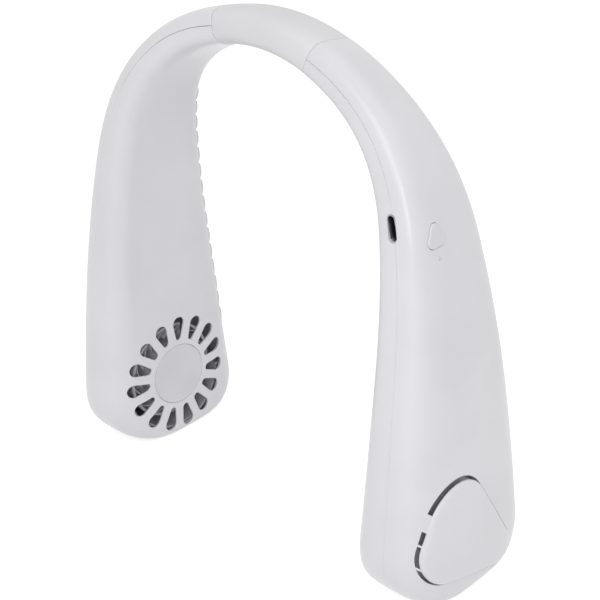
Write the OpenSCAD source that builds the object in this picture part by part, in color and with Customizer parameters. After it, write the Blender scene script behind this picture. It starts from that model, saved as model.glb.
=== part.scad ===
// Electric neck fan standing on its two feet, neck band at the top.
// Two curved arms hang from a soft band that flexes behind the neck. Each arm is a pair of shells with
// a centrifugal fan in its foot, an air duct along its front edge and a battery along its back edge.
// X runs across the neck, Y from the back edge of the arms to the outlet edge, Z upwards.

/* [Arm path] */
// Length of one arm's centre line, from the middle of the neck band to the floor
arm_len = 230; // [220:1:240]
// Slope of the centre line at the shoulder, in degrees below level
shoulder_slope = 35; // [32:1:38]
// Slope of the centre line at the elbow
elbow_slope = 80; // [76:1:83]
// Slope of the centre line at the calf
calf_slope = 88; // [86:1:89]

/* [Arm thickness] */
// Thickness in the middle of the neck band
neck_t = 13.6; // [12.5:0.1:14.5]
// Thickness at the shoulder
shoulder_t = 14.4; // [13.5:0.1:15.5]
// Thickness at the elbow, beside the power button
elbow_t = 20.2; // [19.5:0.1:21.5]
// Thickness at the calf, above the fan
calf_t = 27.6; // [27:0.1:29]
// Thickness at the foot
foot_t = 36.4; // [35.5:0.1:38]

/* [Arm width] */
// Width in the middle of the neck band
neck_w = 22; // [20.5:0.5:24]
// Width at the shoulder
shoulder_w = 26; // [25:0.5:28]
// Width at the elbow
elbow_w = 41.6; // [40.5:0.1:43]
// Width at the calf
calf_w = 58; // [56.5:0.5:60]
// Width at the foot
foot_w = 69.8; // [68.5:0.1:71.5]

/* [Section] */
// Squareness of the outer half of the section, where 2 is an ellipse
outer_square = 3.6; // [3.2:0.1:4.2]
// Squareness of the inner half of the section
inner_square = 3.4; // [3.1:0.1:4.0]
// Squareness left in the neck band, as a share of the foot's
neck_square_share = 0.86; // [0.8:0.01:0.95]
// Tilt of the section in the neck band, in degrees, so that the band follows the slope of the neck
neck_tilt = 7.5; // [5:0.5:9]
// Tilt of the section at the shoulder
shoulder_tilt = 12; // [10:0.5:13]
// Tilt of the section at the elbow
elbow_tilt = 5.7; // [4.5:0.1:6.5]
// Tilt of the section at the calf
calf_tilt = 1.2; // [0.8:0.1:1.6]

/* [Foot] */
// Radius of the foot's corner on the outlet side
front_corner = 19.5; // [17:0.5:22]
// Radius of the foot's corner on the back side
back_corner = 24.5; // [22:0.5:27]
// Radius of the edge round the foot's sole
sole_edge = 3.8; // [3.4:0.1:4.4]

/* [Shells] */
// Wall of the shells
wall = 1.8; // [1.6:0.05:2.0]
// Gap along the parting line between the shells
part_gap = 0.1; // [0.06:0.01:0.14]
// How far the parting line lies outwards of the centre line at the foot
split_rise = 2.2; // [1.8:0.1:2.6]
// Radius of the posts that hold the two shells in line
post_r = 2.4; // [2.2:0.1:2.6]
// Radius of the pin on each post
post_pin_r = 1; // [0.9:0.05:1.1]

/* [Neck band] */
// Length of the right half of the soft sleeve, from its middle to the right seam
band_right = 27.4; // [26:0.1:29]
// Length of the left half of the soft sleeve
band_left = 17.2; // [16:0.1:18.5]
// Gap that shows as a fine line at each seam
seam_gap = 0.3; // [0.2:0.05:0.4]
// Wall of the soft sleeve
sleeve_wall = 2.2; // [2:0.1:2.4]
// Length of each arm plug inside its shells
plug_len = 9; // [8:0.5:10]
// Length of the plug's spigot inside the sleeve
spigot_len = 6; // [5:0.5:7]
// Width of the steel spring strip
strip_w = 7; // [6:0.5:8]
// Thickness of the steel spring strip
strip_t = 0.6; // [0.5:0.05:0.7]
// Radius of the wire bundle that joins the arms
harness_r = 1.1; // [1:0.05:1.2]

/* [Fan] */
// Height of the duct ring above the floor
sole_gap = 3.4; // [3.2:0.1:3.8]
// Offset of the fan's axis towards the back edge
fan_back = 1.6; // [1.2:0.1:2]
// Gap between the fan wheel and the duct ring
wheel_clear = 3.2; // [2.8:0.1:3.6]
// Inner radius of the ring of blades
blade_in_r = 15.6; // [15:0.1:16.2]
// Length of the blades along the axis
wheel_len = 16; // [15:0.5:16.5]
// Number of blades
blade_count = 25; // [19:2:31]
// Thickness of a blade
blade_t = 0.9; // [0.8:0.05:1.1]
// Inner radius of the duct ring round the wheel
ring_r = 24.2; // [23.8:0.1:24.4]
// Wall of the duct and its partition
duct_wall = 1.2; // [1.1:0.05:1.3]

/* [Motor] */
// Radius of the motor shaft
shaft_r = 1; // [0.9:0.05:1.1]
// Running clearance of the shaft in its bearing
shaft_clear = 0.03; // [0.02:0.01:0.05]
// Outer radius of the bearing bush
bearing_r = 2.6; // [2.4:0.1:2.8]
// Outer radius of the rotor cup
cup_r = 11; // [10.7:0.1:11.2]
// Sheet thickness of the rotor cup
cup_t = 0.8; // [0.7:0.05:0.9]
// Thickness of the magnet ring
magnet_t = 1; // [0.9:0.05:1.1]
// Air gap between the magnet and the stator
air_gap = 0.35; // [0.3:0.05:0.45]
// Number of stator teeth
tooth_count = 9; // [6:3:12]
// Thickness of the round motor board
motor_board_t = 0.8; // [0.7:0.1:1]

/* [Intake grille] */
// Number of teardrop slots
slot_count = 15; // [13:1:17]
// Radius at which the slots end
slot_out_r = 25.1; // [24.7:0.1:25.3]
// Radius at which the slots begin
slot_in_r = 15.5; // [15.1:0.1:15.9]
// Half width of a slot at its wide end
slot_wide_r = 2.6; // [2.4:0.05:2.7]
// Half width of a slot at its narrow end
slot_narrow_r = 1.35; // [1.2:0.05:1.5]
// Radius of the plain disc in the middle
disc_r = 12.8; // [12.4:0.1:13.1]
// Thickness of the disc
disc_t = 1.2; // [1.1:0.05:1.3]

/* [Intake cover] */
// Radius of the cover's top corner
cover_top_r = 15.1; // [14.7:0.1:15.3]
// Radius of the cover's back corner
cover_back_r = 14.4; // [14:0.1:14.6]
// Radius of the cover's front corner
cover_front_r = 7; // [6.7:0.1:7.2]
// Gap round the cover where it is closest to the pocket's rim
cover_gap = 0.3; // [0.25:0.01:0.35]
// How much wider the air gap is at the cover's top corner
top_gap = 2.2; // [2:0.05:2.3]
// How much wider the air gap is at the cover's back corner
back_gap = 1.1; // [1:0.05:1.2]
// How far the cover stands proud of the shell
cover_rise = 1; // [0.8:0.05:1.1]
// Thickness of the cover
cover_t = 1.3; // [1.2:0.05:1.5]
// Depth of the intake pocket under the shell's face
pocket_depth = 6.4; // [6.2:0.1:6.6]
// Thickness of the pocket's floor and wall
pocket_t = 1.4; // [1.2:0.1:1.5]
// Radius of the intake hole in the pocket's floor
intake_r = 13.5; // [12:0.5:13.5]

/* [Outlet strip] */
// Number of scallops along the strip
scallop_count = 15; // [13:1:17]
// Spacing of the scallops
scallop_pitch = 7.9; // [7.7:0.05:8.0]
// Height of a scallop
scallop_h = 0.6; // [0.5:0.05:0.8]
// Distance from the middle of the neck band to the strip
strip_start = 73.2; // [72:0.2:75]
// Half width of an outlet slot
outlet_half = 1.5; // [1.3:0.05:1.7]
// Clearance round the strip
strip_clear = 0.15; // [0.1:0.01:0.2]

/* [Battery] */
// Length of the battery cell
cell_len = 50; // [47:1:52]
// Width of the battery cell
cell_w = 23; // [21:0.5:23.5]
// Thickness of the battery cell
cell_t = 9.4; // [8.5:0.1:10]
// Room between the duct and the battery cell
cell_room = 5; // [4.5:0.1:5.5]
// How far the cell lies towards the back edge
cell_back = 6; // [5.5:0.1:6.5]
// How far the cell lies towards the neck
cell_in = 1; // [0.6:0.1:1.4]
// Thickness of the foam pad under the cell
pad_t = 1; // [0.8:0.1:1.2]

/* [Control board] */
// Length of the control board along the arm
board_len = 28; // [27:0.5:29]
// Width of the control board
board_w = 19.5; // [18.5:0.5:20]
// Thickness of the control board
board_t = 1; // [0.8:0.1:1.2]
// How far the control board lies towards the back edge
board_back = 4.6; // [4.2:0.1:5]
// Distance from the middle of the neck band to the middle of the USB socket
usb_at = 89; // [88:0.5:90]
// Width of the USB socket's shell
usb_w = 8.94; // [8.9:0.01:9]
// Height of the USB socket's shell
usb_h = 3.16; // [3.1:0.01:3.2]
// Depth of the USB socket
usb_len = 7.3; // [7:0.1:7.6]
// Distance from the middle of the neck band to the middle of the power button
button_at = 94.8; // [94:0.1:95.5]
// How far the button lies towards the back edge
button_back = 8.9; // [8.5:0.1:9.3]
// Radius of the circle through the middles of the button's corners
button_spread = 2.25; // [2.1:0.05:2.4]
// Radius of the button's corners
button_corner = 2.3; // [2.1:0.05:2.5]
// Gap round the button
button_gap = 0.2; // [0.16:0.01:0.25]
// How far the button stands proud
button_rise = 0.5; // [0.4:0.05:0.6]
// Travel of the button
button_travel = 0.3; // [0.25:0.01:0.35]
// Distance from the button to the status light
led_below = 7.3; // [7:0.1:7.6]
// Radius of the status light's window
led_r = 0.5; // [0.45:0.05:0.6]

/* [Hidden] */
$fn = 48;

// Clearances: faces that seat on each other, loose fits, and pieces that follow the shells' inner skin.
// A cut runs past what it cuts by the overrun, and the cup is pressed on the shaft.
snug = 0.05;
slip = 0.15;
skin_clear = 0.4;
over = 4;
press_clear = 0.01;
// Longer than half the foot's width or thickness, for cuts that go right through
beyond = 40;

// The arm's laws are given at these shares of its length
station_shares = [0, 0.2, 0.45, 0.72, 1];
headings = [0, shoulder_slope, elbow_slope, calf_slope, 90];
thicknesses = [neck_t, shoulder_t, elbow_t, calf_t, foot_t];
widths = [neck_w, shoulder_w, elbow_w, calf_w, foot_w];
tilts = [neck_tilt, shoulder_tilt, elbow_tilt, calf_tilt, 0];
// The foot's corners are squarer than circles, and reach up the arm by these shares of their radii
front_reach_share = 0.92;
back_reach_share = 1.04;
front_corner_square = 2.5;
back_corner_square = 2.3;
// The section is fully square from this share of the arm's length on
square_from_share = 0.5;

// Steps of the centre line, rows of facets along the arm and round the foot, and facets round a shell
path_steps = 120;
arm_rows = 16;
sole_rows = 7;
half_facets = 14;
ring_facets = 24;

function clamp(v, low, high) = min(max(v, low), high);
function ease(v) = let (c = clamp(v, 0, 1)) c * c * (3 - 2 * c);

// A smooth curve through values at the stations, with the slopes of its ends as shares of the
// straight slopes there
function secants(v) =
    [for (i = [0:len(v) - 2]) (v[i + 1] - v[i]) / (station_shares[i + 1] - station_shares[i])];
function knot_slope(d, i, first, last) =
    i == 0 ? first * d[0]
    : i == len(d) ? last * d[i - 1]
    : d[i - 1] * d[i] <= 0 ? 0
    : 2 * d[i - 1] * d[i] / (d[i - 1] + d[i]);
function law(s, v, first, last) = let (
        a = clamp(abs(s), 0, 1),
        i = len([for (k = [1:len(v) - 2]) if (a >= station_shares[k]) k]),
        h = station_shares[i + 1] - station_shares[i],
        u = (a - station_shares[i]) / h,
        d = secants(v))
    pow(1 - u, 2) * ((1 + 2 * u) * v[i] + u * h * knot_slope(d, i, first, last))
    + u * u * ((3 - 2 * u) * v[i + 1] + (u - 1) * h * knot_slope(d, i + 1, first, last));

// The centre line, from the middle of the neck band, as [across, drop], by adding up short steps
function heading(s) = sign(s) * law(s, headings, 1, 0);
path_step = arm_len / path_steps;
path = [for (i = 0, across = 0, drop = 0; i <= path_steps;
    across = across + cos(heading((i + 0.5) / path_steps)) * path_step,
    drop = drop + sin(heading((i + 0.5) / path_steps)) * path_step,
    i = i + 1) [across, drop]];
top_z = path[path_steps].y;
// Shares under zero lie on the left half
function centre(s) = let (
        a = clamp(abs(s), 0, 1) * path_steps,
        i = min(floor(a), path_steps - 1),
        p = path[i] + (a - i) * (path[i + 1] - path[i]))
    [sign(s) * p.x, 0, top_z - p.y];

// Each place on the arm has an outward direction and a direction across its width
function frame_at(s) = let (h = heading(s), k = law(s, tilts, 0, 0), n = [sin(h), 0, cos(h)], y = [0, 1, 0])
    [centre(s), cos(k) * n + sin(k) * y, cos(k) * y - sin(k) * n];
function spot(f, u, v) = f[0] + u * f[1] + v * f[2];

// Half sizes of the section at a share of the length, at a depth under the skin
function half_thickness(s, inset) = let (
        a = 1 - clamp(((1 - abs(s)) * arm_len - inset) / (sole_edge - inset), 0, 1))
    law(s, thicknesses, 0, 1) / 2 - inset - (sole_edge - inset) * (1 - sqrt(1 - a * a));
function half_width(s, side, inset) = let (
        r = side > 0 ? front_corner : back_corner,
        reach = r * (side > 0 ? front_reach_share : back_reach_share),
        k = side > 0 ? front_corner_square : back_corner_square,
        a = 1 - clamp(((1 - abs(s)) * arm_len - inset) / (reach - inset), 0, 1))
    law(s, widths, 0, 1) / 2 - inset - (r - inset) * (1 - pow(1 - pow(a, k), 1 / k));
function squareness(s, outward) =
    (outward ? outer_square : inner_square)
    * (neck_square_share + (1 - neck_square_share) * ease(abs(s) / square_from_share));

// Points round the section at the given turns, where 0 is outward and 90 the outlet edge
function ring(s, turns, inset) = let (
        f = frame_at(s),
        t = half_thickness(s, inset),
        front = half_width(s, 1, inset),
        back = half_width(s, -1, inset),
        qo = squareness(s, true),
        qi = squareness(s, false))
    [for (a = turns) let (
            c = cos(a),
            n = sin(a),
            q = c > 0 ? qo : qi,
            k = pow(pow(abs(c), q) + pow(abs(n), q), -1 / q))
        spot(f, t * c * k, (n > 0 ? front : back) * n * k)];
// Height of the skin over the middle of the section, at a place across its width
function skin_at(s, v, outward, inset) = let (
        q = squareness(s, outward),
        a = clamp(abs(v) / half_width(s, v, inset), 0, 1))
    half_thickness(s, inset) * pow(1 - pow(a, q), 1 / q);

function steps(a, b, n) = [for (j = [0:n]) a + (b - a) * j / n];
function circuit(n) = [for (j = [0:n - 1]) 360 * j / n];
// Shares of the length from a start to the sole, closer together round the foot's corners
foot_reach = back_corner * back_reach_share;
function to_sole(from, inset, n) = concat(
    [for (i = [0:n - 1]) from + (1 - foot_reach / arm_len - from) * i / n],
    [for (k = [0:sole_rows]) 1 - (inset + (foot_reach - inset) * (1 - sin(90 * k / sole_rows))) / arm_len]);

// The parting line's height, and the turn at which a skin meets it
function split_at(s) = split_rise * abs(s);
function split_turn(s, inset, gap) = let (
        c = (split_at(s) + gap) / half_thickness(s, inset),
        q = squareness(s, c > 0))
    atan2(pow(1 - pow(abs(c), q), 1 / q), c);

// A solid between two skins of equal rows, with rims along the sides
module skin_solid(outer, inner, sole = false) {
    n = len(outer) - 1;
    m = len(outer[0]) - 1;
    w = m + 1;
    k = (n + 1) * w;
    points = concat([for (row = outer) each row], [for (row = inner) each row]);
    skins = [for (i = [0:n - 1], j = [0:m - 1]) let (a = i * w + j, b = a + w) each [
        [a, a + 1, b + 1], [a, b + 1, b],
        [k + a, k + b + 1, k + a + 1], [k + a, k + b, k + b + 1]]];
    rims = [for (i = [0:n - 1]) let (a = i * w, b = a + w, c = a + m, d = c + w) each [
        [k + a, a, b], [k + a, b, k + b], [c, k + c, k + d], [c, k + d, d]]];
    start = [for (j = [0:m - 1]) each [[j, k + j, k + j + 1], [j, k + j + 1, j + 1]]];
    e = n * w;
    finish = sole
        ? concat(
            [for (j = [1:m - 1]) [e, e + j, e + j + 1]],
            [for (j = [1:m - 1]) [k + e, k + e + j + 1, k + e + j]],
            [[k + e, e, e + m], [k + e, e + m, k + e + m]])
        : [for (j = [0:m - 1]) each [[e + j, k + e + j + 1, k + e + j], [e + j, e + j + 1, k + e + j + 1]]];
    polyhedron(points, concat(skins, rims, start, finish), convexity = 6);
}

// A solid through closed rings of points
module loft(rows) {
    n = len(rows) - 1;
    m = len(rows[0]);
    sides = [for (i = [0:n - 1], j = [0:m - 1]) let (a = i * m, b = a + m, k = (j + 1) % m) each [
        [a + j, a + k, b + k], [a + j, b + k, b + j]]];
    caps = [for (j = [1:m - 2]) each [[0, j + 1, j], [n * m, n * m + j, n * m + j + 1]]];
    polyhedron([for (row = rows) each row], concat(sides, caps), convexity = 6);
}

// The solid inside the skin at a depth, between two shares of the length or down to the sole
module arm_solid(from, to, inset, n) {
    loft([for (s = steps(from, to, n)) ring(s, circuit(ring_facets), inset)]);
}
module foot_solid(from, inset, n) {
    loft([for (s = to_sole(from, inset, n)) ring(s, circuit(ring_facets), inset)]);
}

// A round lead through points given as distance along the arm, height and place across
function route_point(p) = spot(frame_at(p[0] / arm_len), p[1], p[2]);
function unit(v) = v / norm(v);
function lead_ring(p, q, r, facets) = let (
        t = unit(q - p),
        a = unit(cross(t, [0, 1, 0])),
        b = cross(a, t))
    [for (j = [0:facets - 1]) r * (cos(360 * j / facets) * a + sin(360 * j / facets) * b)];
function bend(p, i, u) = let (
        n = len(p) - 1,
        a = p[max(i - 1, 0)],
        b = p[i],
        c = p[i + 1],
        d = p[min(i + 2, n)])
    b + u * (c - a) / 2 + u * u * (a - b + (c - b) * 3 / 2 - (d - b) / 2)
    + u * u * u * ((b - c) * 3 / 2 + (d - a) / 2);
module lead(route, r, facets, parts) {
    p = [for (q = route) route_point(q)];
    line = concat([for (i = [0:len(p) - 2], k = [0:parts - 1]) bend(p, i, k / parts)], [p[len(p) - 1]]);
    n = len(line) - 1;
    loft([for (i = [0:n])
        [for (q = lead_ring(line[max(i - 1, 0)], line[min(i + 1, n)], r, facets)) line[i] + q]]);
}

// Local frames: x runs down the arm, y across it and z outwards
module at_arm(d) {
    s = d / arm_len;
    translate(centre(s)) rotate([0, heading(s), 0]) rotate([-law(s, tilts, 0, 0), 0, 0]) children();
}
fan_z = ring_r + sole_gap;
wheel_r = ring_r - wheel_clear;
fan_share = 1 - fan_z / arm_len;
fan_x = centre(fan_share).x;
module at_fan() {
    translate([fan_x, -fan_back, fan_z]) rotate([0, 90, 0]) children();
}
// Turns about the fan's axis are counted from the outlet side upwards
module turned(a) {
    rotate([0, 0, 90 + a]) children();
}
module mirrored() {
    mirror([1, 0, 0]) children();
}
// A tube along z, from one height to another
module pipe(r_out, r_in, low, high) {
    difference() {
        translate([0, 0, low]) cylinder(r = r_out, h = high - low);
        translate([0, 0, low - over]) cylinder(r = r_in, h = high - low + 2 * over);
    }
}
module rod(r, low, high) {
    translate([0, 0, low]) cylinder(r = r, h = high - low);
}
// A box given by its lengths, centred across and standing from one height to another
module block(length, width, low, high) {
    translate([-length / 2, -width / 2, low]) cube([length, width, high - low]);
}

// The shells
shell_white = [0.87, 0.87, 0.89];
shell_grey = [0.80, 0.80, 0.83];
module half_shell(seam, outward) {
    from = (seam + seam_gap / 2) / arm_len;
    gap = (outward ? 1 : -1) * part_gap / 2;
    rows = [for (inset = [0, wall]) [for (s = to_sole(from, inset, arm_rows))
        let (a = split_turn(s, inset, gap))
        ring(s, outward ? steps(-a, a, half_facets) : steps(a, 360 - a, half_facets), inset)]];
    skin_solid(rows[0], rows[1], sole = true);
}

// Posts hold the shells in line: shares of the arm's length and of the half width
post_shares = [[0.25, 0.45], [0.5, -0.35], [0.783, -0.75], [0.961, 0.72], [0.961, -0.8]];
pin_len = 4;
function post_across(p) = p[1] * half_width(p[0], p[1], 0);
function post_reach(p, outward) =
    skin_at(p[0] + post_r / arm_len, post_across(p) + sign(p[1]) * post_r, outward, wall / 2);
module at_posts() {
    for (p = post_shares)
        at_arm(p[0] * arm_len) translate([0, post_across(p), split_at(p[0])]) {
            $outer_reach = post_reach(p, true) - split_at(p[0]);
            $inner_reach = post_reach(p, false) + split_at(p[0]);
            children();
        }
}

// A place on the outer face, given from the fan's axis by its distance and turn
function face_at(out, turn) = out * [-sin(turn), cos(turn)];
// The intake cover's outline is the hull of three round corners
cover_top_out = 9.1;
cover_top_turn = 142.6;
cover_back_out = 11.6;
cover_back_turn = 193;
cover_front_out = 22;
cover_front_turn = -49.6;
cover_top_at = face_at(cover_top_out, cover_top_turn);
cover_back_at = face_at(cover_back_out, cover_back_turn);
cover_front_at = face_at(cover_front_out, cover_front_turn);
module cover_outline() {
    hull() {
        translate(cover_top_at) circle(r = cover_top_r);
        translate(cover_back_at) circle(r = cover_back_r);
        translate(cover_front_at) circle(r = cover_front_r);
    }
}
// The pocket's corners are larger, and two of them are moved away from the cover, up and to the back,
// which leaves a crescent of air that closes towards the front
top_gap_turn = 125;
back_gap_turn = 158;
gap_grow = 0.05;
module pocket_outline(grow) {
    hull() {
        translate(cover_top_at + face_at(top_gap, top_gap_turn))
            circle(r = cover_top_r + cover_gap + gap_grow + grow);
        translate(cover_back_at + face_at(back_gap, back_gap_turn))
            circle(r = cover_back_r + cover_gap + gap_grow + grow);
        translate(cover_front_at) circle(r = cover_front_r + cover_gap + grow);
    }
}
face_u = half_thickness(fan_share, 0);
floor_top = face_u - pocket_depth;
floor_low = floor_top - pocket_t;
module pocket_block(low, grow) {
    translate([0, 0, low]) linear_extrude(height = beyond) pocket_outline(grow);
}
// Highest row of the foot, above the pocket and the duct ring
foot_from = 1 - (fan_z + ring_r + duct_wall + over) / arm_len;
foot_rows = 4;

// The power button is a rounded triangle that points up the arm
module button_outline(grow) {
    hull() {
        for (a = [60, 180, 300])
            rotate([0, 0, a]) translate([button_spread, 0]) circle(r = button_corner + grow, $fn = 24);
    }
}
led_share = (button_at + led_below) / arm_len;
module usb_stadium(grow, low, high) {
    run = usb_w - usb_h;
    translate([-run / 2, low, -usb_h / 2 - grow]) cube([run, high - low, usb_h + 2 * grow]);
    for (side = [-1, 1])
        translate([side * run / 2, low, 0]) rotate([-90, 0, 0])
            cylinder(r = usb_h / 2 + grow, h = high - low);
}
// The socket's mouth lies this far under the edge of the arm
usb_sink = 0.6;
usb_mouth = -half_width(usb_at / arm_len, -1, 0) + usb_sink;
usb_clear = 0.2;
module at_usb() {
    at_arm(button_at) translate([usb_at - button_at, 0, 0]) children();
}
module at_led() {
    at_arm(button_at) translate([led_below, -button_back, 0]) children();
}
led_hole_clear = 0.05;

module outer_shell(seam, controls) {
    color(shell_white) difference() {
        union() {
            half_shell(seam, true);
            intersection() {
                foot_solid(foot_from, wall / 2, foot_rows);
                at_fan() pocket_block(floor_low, pocket_t);
            }
            at_posts() rod(post_r, part_gap / 2, $outer_reach);
        }
        at_fan() pocket_block(floor_top, 0);
        at_fan() rod(intake_r, 0, beyond);
        at_posts() rod(post_pin_r + slip, -over, pin_len + slip);
        if (controls) {
            at_arm(button_at) translate([0, -button_back, 0])
                linear_extrude(height = beyond) button_outline(button_gap);
            at_led() rod(led_r + led_hole_clear, 0, beyond);
            at_usb() usb_stadium(usb_clear, -beyond, usb_mouth + usb_len);
        }
    }
}

// The motor's stack, from the inner skin outwards, along the fan's axis
mount_t = 1;
mount_top = wall - face_u + mount_t;
motor_board_low = mount_top + snug;
motor_board_top = motor_board_low + motor_board_t;
screw_r = 0.75;
screw_head_r = 1.6;
screw_head_h = 0.8;
screw_len = 1.6;
rim_gap = 0.4;
magnet_sink = 0.2;
cup_low = motor_board_top + screw_head_h + rim_gap;
magnet_low = cup_low + magnet_sink;
stator_len = 3.6;
coil_over = 0.8;
stator_low = magnet_low + magnet_t + coil_over / 2;
coil_low = stator_low - coil_over;
coil_top = stator_low + stator_len + coil_over;
lid_gap = 0.8;
lid_low = coil_top + lid_gap;
lid_top = lid_low + cup_t;
magnet_top = coil_top;
boss_r = 4;
shoulder_r = 4.6;
collar_r = 2.2;
collar_len = 0.8;
collar_gap = 0.8;
collar_low = lid_low - collar_len;
boss_top = collar_low - collar_gap;
shaft_low = mount_top + slip;
web_t = 1.2;
web_top = lid_top + snug + web_t;
skirt_t = 1.2;
skirt_gap = 0.4;
wheel_gap = 2;
wheel_low = motor_board_top + wheel_gap;
wheel_high = wheel_low + wheel_len;
rim_w = 1.2;
rim_h = 0.8;
stator_r = cup_r - cup_t - snug - magnet_t - air_gap;
core_t = 1.1;
core_r = boss_r + core_t;
shoe_t = 0.85;
tooth_w = 1.1;
shoe_share = 0.7;
motor_board_r = 11.5;
board_hole_clear = 0.3;
board_hole_r = shoulder_r + board_hole_clear;
screw_circle_r = 10.2;

// The disc in the middle of the grille, and the recess that it sits in
module grille_slab(low, high) {
    turns = steps(146, 214, 8);
    rows = [for (inset = [low, high]) [for (s = steps(
            fan_share - slot_in_r / arm_len, fan_share + slot_in_r / arm_len, 4)) ring(s, turns, inset)]];
    skin_solid(rows[0], rows[1]);
}
disc_gap = 0.2;
function teardrop(near, near_r, far, far_r) = let (
        lean = asin((far_r - near_r) / (far - near)),
        g = 90 + lean)
    concat(
        [for (a = steps(-g, g, 10)) [far + far_r * cos(a), far_r * sin(a)]],
        [for (a = steps(g, 360 - g, 6)) [near + near_r * cos(a), near_r * sin(a)]]);
// The ring of slots starts this far past straight down
slot_turn = 5;
module grille_slots() {
    for (i = [0:slot_count - 1])
        turned(360 * i / slot_count + slot_turn - 90) translate([0, 0, -beyond])
            linear_extrude(height = beyond)
            polygon(teardrop(
                slot_in_r + slot_narrow_r, slot_narrow_r, slot_out_r - slot_wide_r, slot_wide_r));
}

// The outlet strip fills a long window in the inner shell, near its outlet edge
strip_turns = [98, 128];
flange_turn = 3;
flange_t = 0.8;
flange_len = 1.4;
strip_end = strip_start + scallop_count * scallop_pitch;
window_over = 1;
function strip_rows(d_from, d_to, turn_from, turn_to, n, inset) =
    [for (d = steps(d_from, d_to, n)) ring(d / arm_len, steps(turn_from, turn_to, 4), inset)];
module strip_window() {
    // The clearance across the strip is a turn, as wide as the gap along it
    c = strip_clear / (foot_w / 2) * 180 / PI;
    skin_solid(
        strip_rows(strip_start - strip_clear, strip_end + strip_clear, strip_turns[0] - c, strip_turns[1] + c,
            30, -window_over),
        strip_rows(strip_start - strip_clear, strip_end + strip_clear, strip_turns[0] - c, strip_turns[1] + c,
            30, wall + window_over));
}

// The cell lies above the duct ring
cell_at = arm_len - fan_z - ring_r - duct_wall - cell_room - cell_len / 2;
// Ribs under the battery follow the inner skin
cell_rib_t = 1.6;
cell_rib_share = 0.3;
cell_low = -cell_in - cell_t / 2;
module cell_rib(d) {
    s = d / arm_len;
    skin = [for (v = steps(cell_w / 2 - cell_back, -cell_w / 2 - cell_back, 8))
        [v, -skin_at(s, v, false, wall / 2)]];
    at_arm(d) translate([-cell_rib_t / 2, 0, 0]) rotate([90, 0, 90]) linear_extrude(height = cell_rib_t)
        polygon(concat(
            [[-cell_w / 2 - cell_back, cell_low - pad_t - slip],
             [cell_w / 2 - cell_back, cell_low - pad_t - slip]],
            skin));
}

// The control board stands on two posts of the inner shell
board_low = usb_h / 2 + snug;
board_top = board_low + board_t;
board_edge = 2.3;
board_post_r = 2;
board_screw_r = 0.8;
board_screw_len = 5;
board_screw_run = board_len / 2 - board_edge;
board_screw_v = board_w / 2 - board_back - board_edge;
module at_board_screws() {
    for (side = [-1, 1]) at_arm(button_at) translate([side * board_screw_run, board_screw_v, 0]) children();
}
// The arm bends away under the ends of the flat board
board_frame = frame_at(button_at / arm_len);
function board_drop(run) =
    (board_frame[0] - centre((button_at + run) / arm_len)) * [board_frame[1].x, 0, board_frame[1].z];
function board_post_reach(run) =
    skin_at((button_at + run) / arm_len, board_screw_v + board_post_r, false, wall / 2) + board_drop(run);

module inner_shell(seam, controls) {
    color(shell_white) difference() {
        union() {
            difference() {
                union() {
                    half_shell(seam, false);
                    at_fan() rod(disc_r, -face_u - mount_t, mount_top);
                }
                intersection() {
                    grille_slab(-over, disc_t + snug);
                    at_fan() rod(disc_r + disc_gap, -beyond, 0);
                }
                strip_window();
                at_fan() grille_slots();
                if (controls) at_usb() usb_stadium(usb_clear, -beyond, usb_mouth + usb_len);
            }
            at_fan() rod(shoulder_r, mount_top - snug, stator_low);
            at_fan() rod(boss_r, mount_top - snug, boss_top);
            at_posts() rod(post_r, -$inner_reach, -part_gap / 2);
            at_posts() rod(post_pin_r, -over, pin_len);
            for (side = [-1, 1]) cell_rib(cell_at + side * cell_rib_share * cell_len);
            if (controls) for (run = [-board_screw_run, board_screw_run])
                at_arm(button_at) translate([run, board_screw_v, 0])
                    rod(board_post_r, -board_post_reach(run), board_low - snug);
        }
        at_fan() rod(bearing_r + snug / 2, mount_top, beyond);
        at_fan() for (a = [0, 120, 240]) rotate([0, 0, a]) translate([screw_circle_r, 0, 0])
            rod(screw_r + snug / 2, motor_board_top - screw_len, 0);
        if (controls) at_board_screws() rod(board_screw_r + snug / 2, board_top - board_screw_len, beyond);
    }
}

module outlet_strip() {
    n = 4 * scallop_count;
    columns = 4;
    // Scallops stand between valleys and fade towards the strip's long edges
    outer = [for (i = [0:n]) [for (j = [0:columns]) let (
            s = (strip_start + strip_clear + (strip_end - strip_start - 2 * strip_clear) * i / n) / arm_len,
            a = strip_turns[0] + (strip_turns[1] - strip_turns[0]) * j / columns,
            rise = scallop_h * abs(sin(180 * i / 4)) * sin(180 * j / columns))
        ring(s, [a], -rise)[0]]];
    color(shell_grey) difference() {
        union() {
            skin_solid(outer, strip_rows(strip_start + strip_clear, strip_end - strip_clear,
                strip_turns[0], strip_turns[1], n, wall + skin_clear + flange_t / 2));
            skin_solid(
                strip_rows(strip_start - flange_len, strip_end + flange_len, strip_turns[0] - flange_turn,
                    strip_turns[1] + flange_turn, 16, wall + skin_clear),
                strip_rows(strip_start - flange_len, strip_end + flange_len, strip_turns[0] - flange_turn,
                    strip_turns[1] + flange_turn, 16, wall + skin_clear + flange_t));
        }
        for (k = [1:scallop_count - 1]) outlet_slot(strip_start + k * scallop_pitch);
    }
}
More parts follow.
